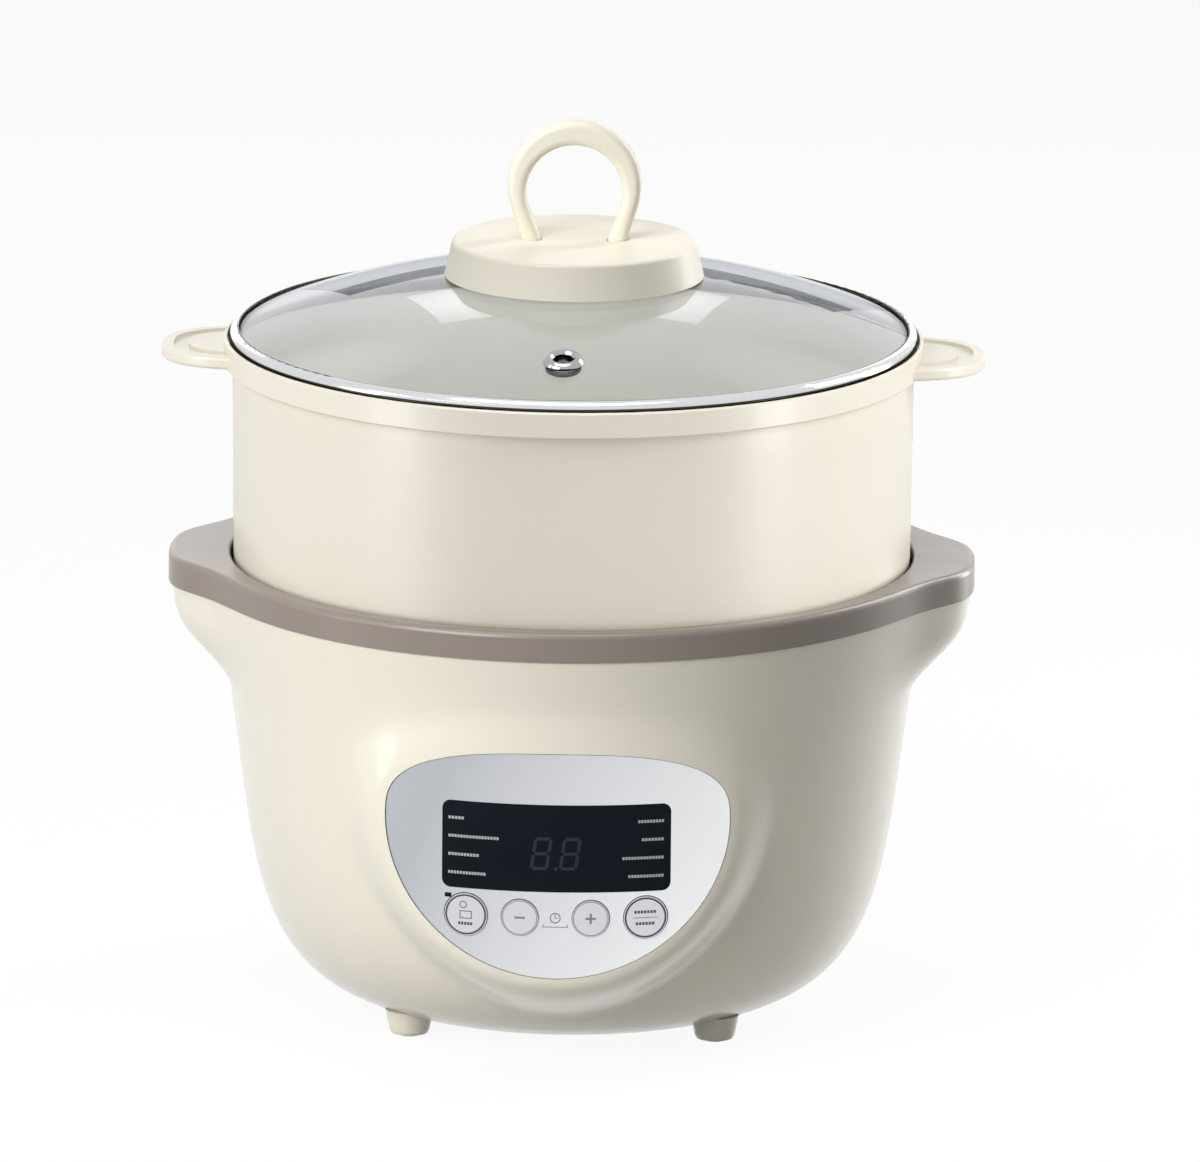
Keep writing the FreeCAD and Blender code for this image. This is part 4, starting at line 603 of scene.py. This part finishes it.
class DressPanel(bpy.types.Operator):
    """Silver panel and smoked window with unlit digits and rows of small labels"""

    bl_idname = "stew_pot.panel"
    bl_label = "Control Panel"

    # In millimetres: lengths of the labels from the top row down, then the lamp and the clock
    LEFT_LABELS = (5.6, 17.7, 10.8, 13.2)
    RIGHT_LABELS = (9.0, 7.7, 14.3, 12.2)
    LAMP_SHIFT = (-6.2, 6.3)
    LAMP_SIZE = (2.3, 1.5)
    CLOCK_RADIUS = 1.9
    BRACKET_DROP = 3.3
    BRACKET_GAP = 0.5

    # Clock hands as shares of its radius, then its ring and the bracket's ends in fine lines
    LONG_HAND = 0.7
    SHORT_HAND = 0.5
    CLOCK_LINES = 1.4
    BRACKET_LINES = 4

    def execute(self, context):
        colours = context.scene.pot_colours
        marks = context.scene.panel_marks
        low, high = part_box("control_panel")
        # The lacquer carries a painted reflection, from dark at the upper left to light at the lower right
        lacquer = flake_lacquer(
            "silver_lacquer", colours.silver, colours.panel_painted_shade, roughness=0.34,
            middle_height=middle("control_panel").z, spread=(high.x - low.x) / 2,
        )
        coat_nodes(lacquer, "control_panel")
        coat_nodes(smoked_plastic("smoked_window", colours.smoke), "display_window")
        self.print_window(colours, marks)
        self.print_panel(colours, marks)
        return {"FINISHED"}

    def print_window(self, colours, marks):
        """Rows of dashes at both sides, and two unlit digits with a point between them."""
        face = reach("display_window")
        centre = middle("display_window")
        low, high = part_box("display_window")
        edge = (high.x - low.x) / 2 - marks.label_margin
        labels = Stencil(centre.x, centre.z)
        middle_row = (len(self.LEFT_LABELS) - 1) / 2
        for row, (left, right) in enumerate(zip(self.LEFT_LABELS, self.RIGHT_LABELS)):
            z = marks.label_shift + (middle_row - row) * marks.label_pitch
            labels.dashes(-edge, -edge + left * MM, z, marks.label_height)
            labels.dashes(edge - right * MM, edge, z, marks.label_height)
        ink = printed_ink("pale_ink", colours.pale_ink)
        labels.print_on("window_labels", face, ink, "base")
        digits = Stencil(centre.x, centre.z + marks.digit_shift)
        for side in (-1, 1):
            digit(digits, side * marks.digit_pitch / 2, marks)
        point = marks.digit_stroke
        foot = -marks.digit_height / 2
        digits.bar(-point / 2, point / 2, foot, foot + point)
        segment = smoked_plastic("unlit_segment", colours.segment)
        digits.print_on("display_digits", face, segment, "base")

    def print_panel(self, colours, marks):
        """Lamp beside the first button, and a clock in a bracket between the minus and plus buttons."""
        face = reach("control_panel")
        first = middle("preset_button")
        lamp = Stencil(first.x + self.LAMP_SHIFT[0] * MM, first.z + self.LAMP_SHIFT[1] * MM)
        width, height = (size * MM / 2 for size in self.LAMP_SIZE)
        lamp.bar(-width, width, -height, height)
        smoke = smoked_plastic("lamp_smoke", colours.smoke)
        lamp.print_on("status_lamp", face, smoke, "base")
        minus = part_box("time_minus_button")[1].x
        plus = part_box("time_plus_button")[0].x
        clock = Stencil((minus + plus) / 2, first.z)
        radius = self.CLOCK_RADIUS * MM
        line = marks.fine_line
        clock.ring(0, 0, radius, line * self.CLOCK_LINES)
        clock.bar(-line / 2, line / 2, 0, radius * self.LONG_HAND)
        clock.bar(-line / 2, radius * self.SHORT_HAND, -line / 2, line / 2)
        half = (plus - minus) / 2 - self.BRACKET_GAP * MM
        drop = self.BRACKET_DROP * MM
        clock.bar(-half, half, -drop, -drop + line)
        for side in (-1, 1):
            x = side * (half - line / 2)
            clock.bar(x - line / 2, x + line / 2, -drop, -drop + self.BRACKET_LINES * line)
        ink = printed_ink("bracket_ink", colours.grey_ink)
        clock.print_on("time_mark", face, ink, "base")


class DressButtons(bpy.types.Operator):
    """Push buttons with a printed ring and a plain sign each"""

    bl_idname = "stew_pot.buttons"
    bl_label = "Buttons"

    # In millimetres from the button's middle. A row of dashes has its half length and its height.
    SIGN_REACH = 1.8
    SIGN_WIDTH = 0.75
    DASH_HEIGHT = 1.0
    POT_HALF = 2.1
    POT_TOP = 1.0
    POT_FOOT = -1.2
    STEAM_PLACE = (-0.9, 3.4)
    STEAM_RADIUS = 1.3
    POT_ROW = (2.6, -3.2)
    UPPER_ROW = (3.8, 2.0)
    LOWER_ROW = (3.3, -2.1)
    RULE_HALF = 4.2

    # Spread of the caps' painted reflection in millimetres, and the share of their colour at its
    # painted-shade end
    CAP_SPREAD = 60
    CAP_PAINTED_SHADE = 0.85

    def execute(self, context):
        colours = context.scene.pot_colours
        marks = context.scene.panel_marks
        # The caps carry the same painted reflection as the panel, darker at the upper left
        cap = flake_lacquer(
            "button_lacquer", colours.cap, shade(colours.cap, self.CAP_PAINTED_SHADE), roughness=0.3,
            middle_height=middle("preset_button").z, spread=self.CAP_SPREAD * MM,
        )
        dark = printed_ink("dark_ink", colours.dark_ink)
        grey = printed_ink("grey_ink", colours.grey_ink)
        for name, draw in (
            ("preset", self.pot_sign), ("time_minus", self.minus_sign),
            ("time_plus", self.plus_sign), ("function", self.two_lines),
        ):
            node = name + "_button"
            coat_nodes(cap, node)
            centre = middle(node)
            stencil = Stencil(centre.x, centre.z)
            outer = name in ("preset", "function")
            if outer:
                stencil.ring(0, 0, marks.outer_ring, marks.ring_width)
            else:
                stencil.ring(0, 0, marks.inner_ring, marks.fine_line)
            draw(stencil, marks.fine_line)
            stencil.print_on(name + "_mark", reach(node), dark if outer else grey, name)
        coat_nodes(
            moulded_plastic("plunger_black", colours.black, 0.4),
            "preset_plunger", "time_minus_plunger", "time_plus_plunger", "function_plunger",
        )
        return {"FINISHED"}

    def minus_sign(self, stencil, line):
        """One bar."""
        arm, half = self.SIGN_REACH * MM, self.SIGN_WIDTH * MM / 2
        stencil.bar(-arm, arm, -half, half)

    def plus_sign(self, stencil, line):
        """An upright bar with an arm at either side."""
        arm, half = self.SIGN_REACH * MM, self.SIGN_WIDTH * MM / 2
        stencil.bar(-half, half, -arm, arm)
        stencil.bar(-arm, -half, -half, half)
        stencil.bar(half, arm, -half, half)

    def pot_sign(self, stencil, line):
        """A pot with a ring of steam over a short row of dashes."""
        half, top, foot = (size * MM for size in (self.POT_HALF, self.POT_TOP, self.POT_FOOT))
        steam_x, steam_z = (size * MM for size in self.STEAM_PLACE)
        stencil.ring(steam_x, steam_z, self.STEAM_RADIUS * MM, line)
        stencil.bar(-half, half, top, top + line)
        stencil.bar(-half, -half + line, foot, top)
        stencil.bar(half - line, half, foot, top)
        stencil.bar(-half, half, foot - line, foot)
        self.row(stencil, *self.POT_ROW)

    def two_lines(self, stencil, line):
        """Two rows of dashes with a thin rule between them."""
        self.row(stencil, *self.UPPER_ROW)
        stencil.bar(-self.RULE_HALF * MM, self.RULE_HALF * MM, -line / 3, line / 3)
        self.row(stencil, *self.LOWER_ROW)

    def row(self, stencil, half, height):
        """Row of dashes across the button's middle."""
        stencil.dashes(-half * MM, half * MM, height * MM, self.DASH_HEIGHT * MM)


class DressSteamer(bpy.types.Operator):
    """Satin cream steamer tier"""

    bl_idname = "stew_pot.steamer"
    bl_label = "Steamer Tier"

    def execute(self, context):
        colours = context.scene.pot_colours
        satin = moulded_plastic("steamer_satin", colours.steamer, 0.36, coat=0.1, grain=1.2)
        coat_nodes(satin, "steamer_basket")
        return {"FINISHED"}


class DressLid(bpy.types.Operator):
    """Glass dome with its steel band, vent eyelet, knob and fittings"""

    bl_idname = "stew_pot.lid"
    bl_label = "Lid and Knob"

    # In millimetres: the width of the painted shade on the band's inner edge, the height of the painted
    # shadow at its foot above the steamer, and the depth below the eyelet's top above which it has no painted
    # shade
    SHADE_INSET = 2.4
    SHADOW_RISE = 0.9
    EYELET_BRIGHT = 4.5

    # Shares of the steel's and the painted shade's colours on the eyelet
    EYELET_STEEL = 0.6
    EYELET_SHADE = 0.35

    def execute(self, context):
        colours = context.scene.pot_colours
        coat_nodes(clear_glass("lid_glass", colours.glass), "glass_lid")
        # The band gets painted shade on its inner edge and a painted shadow at its foot above the steamer's
        # lip
        inner = reach("lid_rim") - self.SHADE_INSET * MM
        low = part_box("steamer_basket")[1].z + self.SHADOW_RISE * MM
        coat_nodes(rolled_steel("rolled_steel", colours.steel, colours.seam, inner, low), "lid_rim")
        # The eyelet's lower flank gets painted shade
        eyelet = rolled_steel(
            "polished_steel", shade(colours.steel, self.EYELET_STEEL), shade(colours.seam, self.EYELET_SHADE),
            inner=0, low=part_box("vent_eyelet")[1].z - self.EYELET_BRIGHT * MM,
        )
        coat_nodes(eyelet, "vent_eyelet")
        coat_nodes(moulded_plastic("knob_gloss", colours.cream, 0.46, coat=0.05), "knob_disc", "knob_loop")
        coat_nodes(rubber("gasket_silicone", colours.silicone), "knob_gasket")
        coat_nodes(plain_metal("knob_zinc", colours.zinc, 0.3), "knob_washer", "knob_screw", "loop_screws")
        return {"FINISHED"}


class DressPot(bpy.types.Operator):
    """Glazed inner pot with the well, plate and heater under it"""

    bl_idname = "stew_pot.pot"
    bl_label = "Inner Pot and Heater"

    def execute(self, context):
        colours = context.scene.pot_colours
        coat_nodes(glazed_ceramic("white_glaze", colours.glaze), "ceramic_pot")
        coat_nodes(rubber("seal_silicone", colours.silicone), "well_seal")
        coat_nodes(
            turned_metal("spun_aluminium", colours.aluminium, 0.38, groove=0.9, depth=0.01),
            "heating_well", "heating_plate", "heat_shield",
        )
        coat_nodes(
            plain_metal("tinted_steel", colours.element, 0.5),
            "heating_element", "shield_spacers", "temperature_sensor",
        )
        coat_nodes(plain_metal("fuse_metal", colours.aluminium, 0.4), "thermal_fuse")
        coat_nodes(moulded_plastic("thermostat_black", colours.black, 0.5, grain=0.4), "thermostat")
        return {"FINISHED"}


class DressElectrics(bpy.types.Operator):
    """Boards, their parts, the mains inlet, wires and the panel's cable"""

    bl_idname = "stew_pot.electrics"
    bl_label = "Electrics"

    def execute(self, context):
        colours = context.scene.pot_colours
        coat_nodes(circuit_board("solder_mask", colours.board, colours.tin), "power_board", "control_board")
        coat_nodes(
            moulded_plastic("black_grain", colours.black, 0.48, grain=0.5, depth=0.015),
            "power_inlet", "heater_relay", "switch_bodies", "display_module",
        )
        coat_nodes(plain_metal("pin_brass", colours.brass, 0.28), "inlet_pins")
        coat_nodes(moulded_plastic("natural_nylon", colours.nylon, 0.5, grain=0.8), "terminal_block")
        coat_nodes(moulded_plastic("capacitor_sleeve", colours.sleeve, 0.3, grain=0.6), "filter_capacitor")
        coat_nodes(wound_sleeve("wire_sleeve", colours.wire, 4, "DIAGONAL"), "inlet_leads", "heater_leads")
        coat_nodes(wound_sleeve("ribbon_cable", colours.ribbon, 8, "X"), "panel_cable")
        coat_nodes(wound_sleeve("varnished_winding", colours.winding, 5, "Z"), "power_transformer")
        return {"FINISHED"}


class DressFasteners(bpy.types.Operator):
    """Screws and nuts of the base"""

    bl_idname = "stew_pot.fasteners"
    bl_label = "Screws and Nuts"

    def execute(self, context):
        colours = context.scene.pot_colours
        coat_nodes(
            plain_metal("screw_zinc", colours.zinc, 0.34),
            "rim_screws", "cover_screws", "foot_screws", "plate_nuts", "shield_screws", "board_screws",
            "panel_screws",
        )
        return {"FINISHED"}


class Softbox(NamedTuple):
    """Rectangular lamp turned to a height on the pot's axis. Angles in degrees, the rest in metres.

    Its brightness is a share of one of the studio's settings, and it lights a group of nodes or all."""

    name: str
    brightness: str
    lights: str | None
    azimuth: float
    distance: float
    height: float
    aim: float
    size: tuple
    share: float = 1.0
    spread: float = 180


class SetStage(bpy.types.Operator):
    """White floor and room, softboxes and the camera"""

    bl_idname = "stew_pot.stage"
    bl_label = "Studio"

    # In metres, apart from the colours and the narrow spread of a lamp, in degrees
    FLOOR_HALF = 6.0
    PAPER_BOUNCE = (0.42, 0.42, 0.42)
    PAPER_SEEN = (0.95, 0.95, 0.95)
    CARD_HALF = 0.12
    CARD_BACK = 0.25
    CARD_HEIGHTS = (0.235, 0.281, 0.309)
    CARD_GREY = (0.66, 0.68, 0.72)
    CARD_DARK = (0.03, 0.03, 0.035)
    CAMERA_REACH = 100
    NARROW = 24
    LIGHT_GROUPS = {
        "steamer_light": ("INCLUDE", "steamer_basket"),
        "glass_light": ("INCLUDE", "glass_lid"),
        "knob_light": ("INCLUDE", "knob_disc"),
        "pot_light": ("EXCLUDE", "steamer_basket"),
        "low_light": ("EXCLUDE", "steamer_basket", "knob_disc"),
        "back_light": ("EXCLUDE", "glass_lid"),
    }
    SOFTBOXES = (
        Softbox("front_softbox", "key", "low_light", -36, 1.5, 0.95, 0.15, (0.9, 0.9)),
        Softbox("knob_softbox", "knob", "knob_light", -30, 1.4, 1.5, 0.25, (0.9, 0.9)),
        Softbox("left_strip", "strip", "low_light", -68, 0.75, 0.46, 0.46, (0.18, 0.9)),
        Softbox("right_edge", "edge", "pot_light", 124, 0.75, 0.46, 0.4, (0.3, 0.9)),
        Softbox("left_tier_strip", "tier_left", "steamer_light", -54, 0.75, 0.5, 0.46, (0.2, 0.9)),
        Softbox("right_tier_strip", "tier_right", "steamer_light", 67, 0.75, 0.5, 0.46, (0.2, 0.9)),
        Softbox("tier_fill", "tier_fill", "steamer_light", -15, 1.5, 0.95, 0.15, (0.9, 0.9)),
        Softbox("top_softbox", "top", None, -20, 0.3, 1.9, 0.15, (1.1, 0.9)),
        Softbox("back_softbox", "back", "back_light", 185, 1.4, 0.6, 0.2, (1.4, 0.8)),
        Softbox("lid_back", "glass", "glass_light", 182.5, 1.3, 0.91, 0.25, (0.44, 0.34), 1.2, NARROW),
        Softbox("lid_back_left", "glass", "glass_light", 207, 1.3, 1.19, 0.25, (0.6, 0.5), 0.9, NARROW),
        Softbox("lid_back_right", "glass", "glass_light", 158, 1.3, 1.32, 0.25, (0.6, 0.5), 0.6, NARROW),
    )

    def execute(self, context):
        studio = context.scene.studio
        context.scene.view_settings.view_transform = "Standard"
        self.lay_floor(studio)
        self.hang_card()
        self.light_room(context, studio)
        groups = {name: self.receivers(name, *rule) for name, rule in self.LIGHT_GROUPS.items()}
        for box in self.SOFTBOXES:
            self.hang_lamp(box, getattr(studio, box.brightness) * box.share, groups.get(box.lights))
        self.set_camera(context, studio)
        return {"FINISHED"}

    @staticmethod
    def seen(finish):
        """1 for rays from the camera and for those that a shiny or clear surface sends on."""
        path = [finish.node("ShaderNodeLightPath", output=name) for name in (
            "Is Camera Ray", "Is Glossy Ray", "Is Transmission Ray",
        )]
        either = path[0].maths("MAXIMUM", path[0], path[1])
        return either.maths("MAXIMUM", either, path[2])

    @staticmethod
    def receivers(name, state, *nodes):
        """Group for lamps that light these nodes alone, or all but these."""
        group = bpy.data.collections.new(name)
        for node in nodes:
            group.objects.link(NODES[node])
        for member in group.collection_objects:
            member.light_linking.link_state = state
        return group

    def lay_floor(self, studio):
        """Floor that is white to the camera, throws back less light and keeps some shadow."""
        finish = new_finish("white_floor")
        seen = self.seen(finish)
        paper = finish.node("ShaderNodeBsdfDiffuse", None, {
            "Color": finish.mix(seen, self.PAPER_BOUNCE, self.PAPER_SEEN),
        })
        white = finish.node("ShaderNodeEmission", None, {"Color": (1, 1, 1, 1), "Strength": 1.0})
        share = seen * studio.floor_white
        finish.close(finish.node("ShaderNodeMixShader", None, {0: share, 1: paper, 2: white}))
        half = self.FLOOR_HALF
        corners = [(-half, -half, 0), (half, -half, 0), (half, half, 0), (-half, half, 0)]
        self.sheet("studio_floor", corners, finish.owner)

    def hang_card(self):
        """Grey card with a dark upper edge behind the lid, which only shiny surfaces show."""
        half, back = self.CARD_HALF, self.CARD_BACK
        low, split, high = self.CARD_HEIGHTS
        finish = new_finish("card_felt")
        tone = finish.mix(finish.part("Z") > split, self.CARD_GREY, self.CARD_DARK)
        finish.close(finish.node("ShaderNodeEmission", None, {"Color": tone, "Strength": 1.0}))
        corners = [(-half, back, low), (half, back, low), (half, back, high), (-half, back, high)]
        card = self.sheet("studio_card", corners, finish.owner)
        card.visible_camera = False
        card.visible_diffuse = False
        card.visible_transmission = False
        card.visible_shadow = False

    @staticmethod
    def sheet(name, corners, material):
        """Flat piece of the studio between four corners."""
        mesh = bpy.data.meshes.new(name)
        mesh.from_pydata(corners, [], [(0, 1, 2, 3)])
        mesh.materials.append(material)
        piece = bpy.data.objects.new(name, mesh)
        bpy.context.collection.objects.link(piece)
        return piece

    def light_room(self, context, studio):
        """World that is white to the camera and gives a little light from all round."""
        world = bpy.data.worlds.new("white_room")
        context.scene.world = world
        finish = Finish(world)
        seen = self.seen(finish)
        strength = studio.fill + seen * (1.0 - studio.fill)
        finish.close(finish.node("ShaderNodeBackground", None, {"Color": (1, 1, 1, 1), "Strength": strength}))

    @staticmethod
    def hang_lamp(box, brightness, receivers):
        """Lamp with the power that gives its face this brightness at any spread."""
        turn, half_spread = math.radians(box.azimuth), math.radians(box.spread) / 2
        place = Vector((box.distance * math.sin(turn), -box.distance * math.cos(turn), box.height))
        lamp = bpy.data.lights.new(box.name, "AREA")
        lamp.shape = "RECTANGLE"
        lamp.size, lamp.size_y = box.size
        lamp.spread = 2 * half_spread
        within = 1 - half_spread / math.tan(half_spread)
        lamp.energy = brightness * math.pi * box.size[0] * box.size[1] * within
        piece = bpy.data.objects.new(box.name, lamp)
        piece.location = place
        piece.rotation_mode = "QUATERNION"
        piece.rotation_quaternion = (Vector((0, 0, box.aim)) - place).to_track_quat("-Z", "Y")
        piece.visible_camera = False
        piece.visible_transmission = False
        piece.light_linking.receiver_collection = receivers
        bpy.context.collection.objects.link(piece)

    def set_camera(self, context, studio):
        """Far camera with a long lens, turned, raised and rolled."""
        turn, rise = studio.azimuth, studio.elevation
        back = Vector((math.sin(turn) * math.cos(rise), -math.cos(turn) * math.cos(rise), math.sin(rise)))
        right = Vector((math.cos(turn), math.sin(turn), 0))
        lens = bpy.data.cameras.new("camera")
        lens.lens = lens.sensor_width * studio.distance / studio.framed_width
        lens.clip_end = self.CAMERA_REACH
        camera = bpy.data.objects.new("camera", lens)
        aim = right * studio.aim_across + Vector((0, 0, studio.aim_height))
        camera.location = aim + back * studio.distance
        camera.rotation_mode = "QUATERNION"
        camera.rotation_quaternion = (-back).to_track_quat("-Z", "Y") @ Quaternion((0, 0, 1), studio.roll)
        context.collection.objects.link(camera)
        context.scene.camera = camera


DRESSERS = (
    DressHousing, DressRim, DressPanel, DressButtons, DressSteamer, DressLid, DressPot, DressElectrics,
    DressFasteners, SetStage,
)


class StewPotPanel(bpy.types.Panel):
    """Buttons that dress the pot piece by piece"""

    bl_idname = "VIEW3D_PT_stew_pot"
    bl_label = "Stew Pot"
    bl_space_type = "VIEW_3D"
    bl_region_type = "UI"
    bl_category = "Stew Pot"

    def draw(self, context):
        for dresser in DRESSERS:
            self.layout.operator(dresser.bl_idname)


GROUPS = {"pot_colours": PotColours, "panel_marks": PanelMarks, "studio": Studio}


def register():
    """Adds the operators, the sidebar and the settings to Blender."""
    for group in (*GROUPS.values(), *DRESSERS, StewPotPanel):
        bpy.utils.register_class(group)
    for name, group in GROUPS.items():
        setattr(bpy.types.Scene, name, PointerProperty(type=group))


def unregister():
    """Takes them away again."""
    for name in GROUPS:
        delattr(bpy.types.Scene, name)
    for group in (StewPotPanel, *reversed(DRESSERS), *GROUPS.values()):
        bpy.utils.unregister_class(group)


def main():
    """Dresses the whole pot."""
    register()
    for dresser in DRESSERS:
        group, name = dresser.bl_idname.split(".")
        getattr(getattr(bpy.ops, group), name)()


if __name__ == "__main__":
    main()
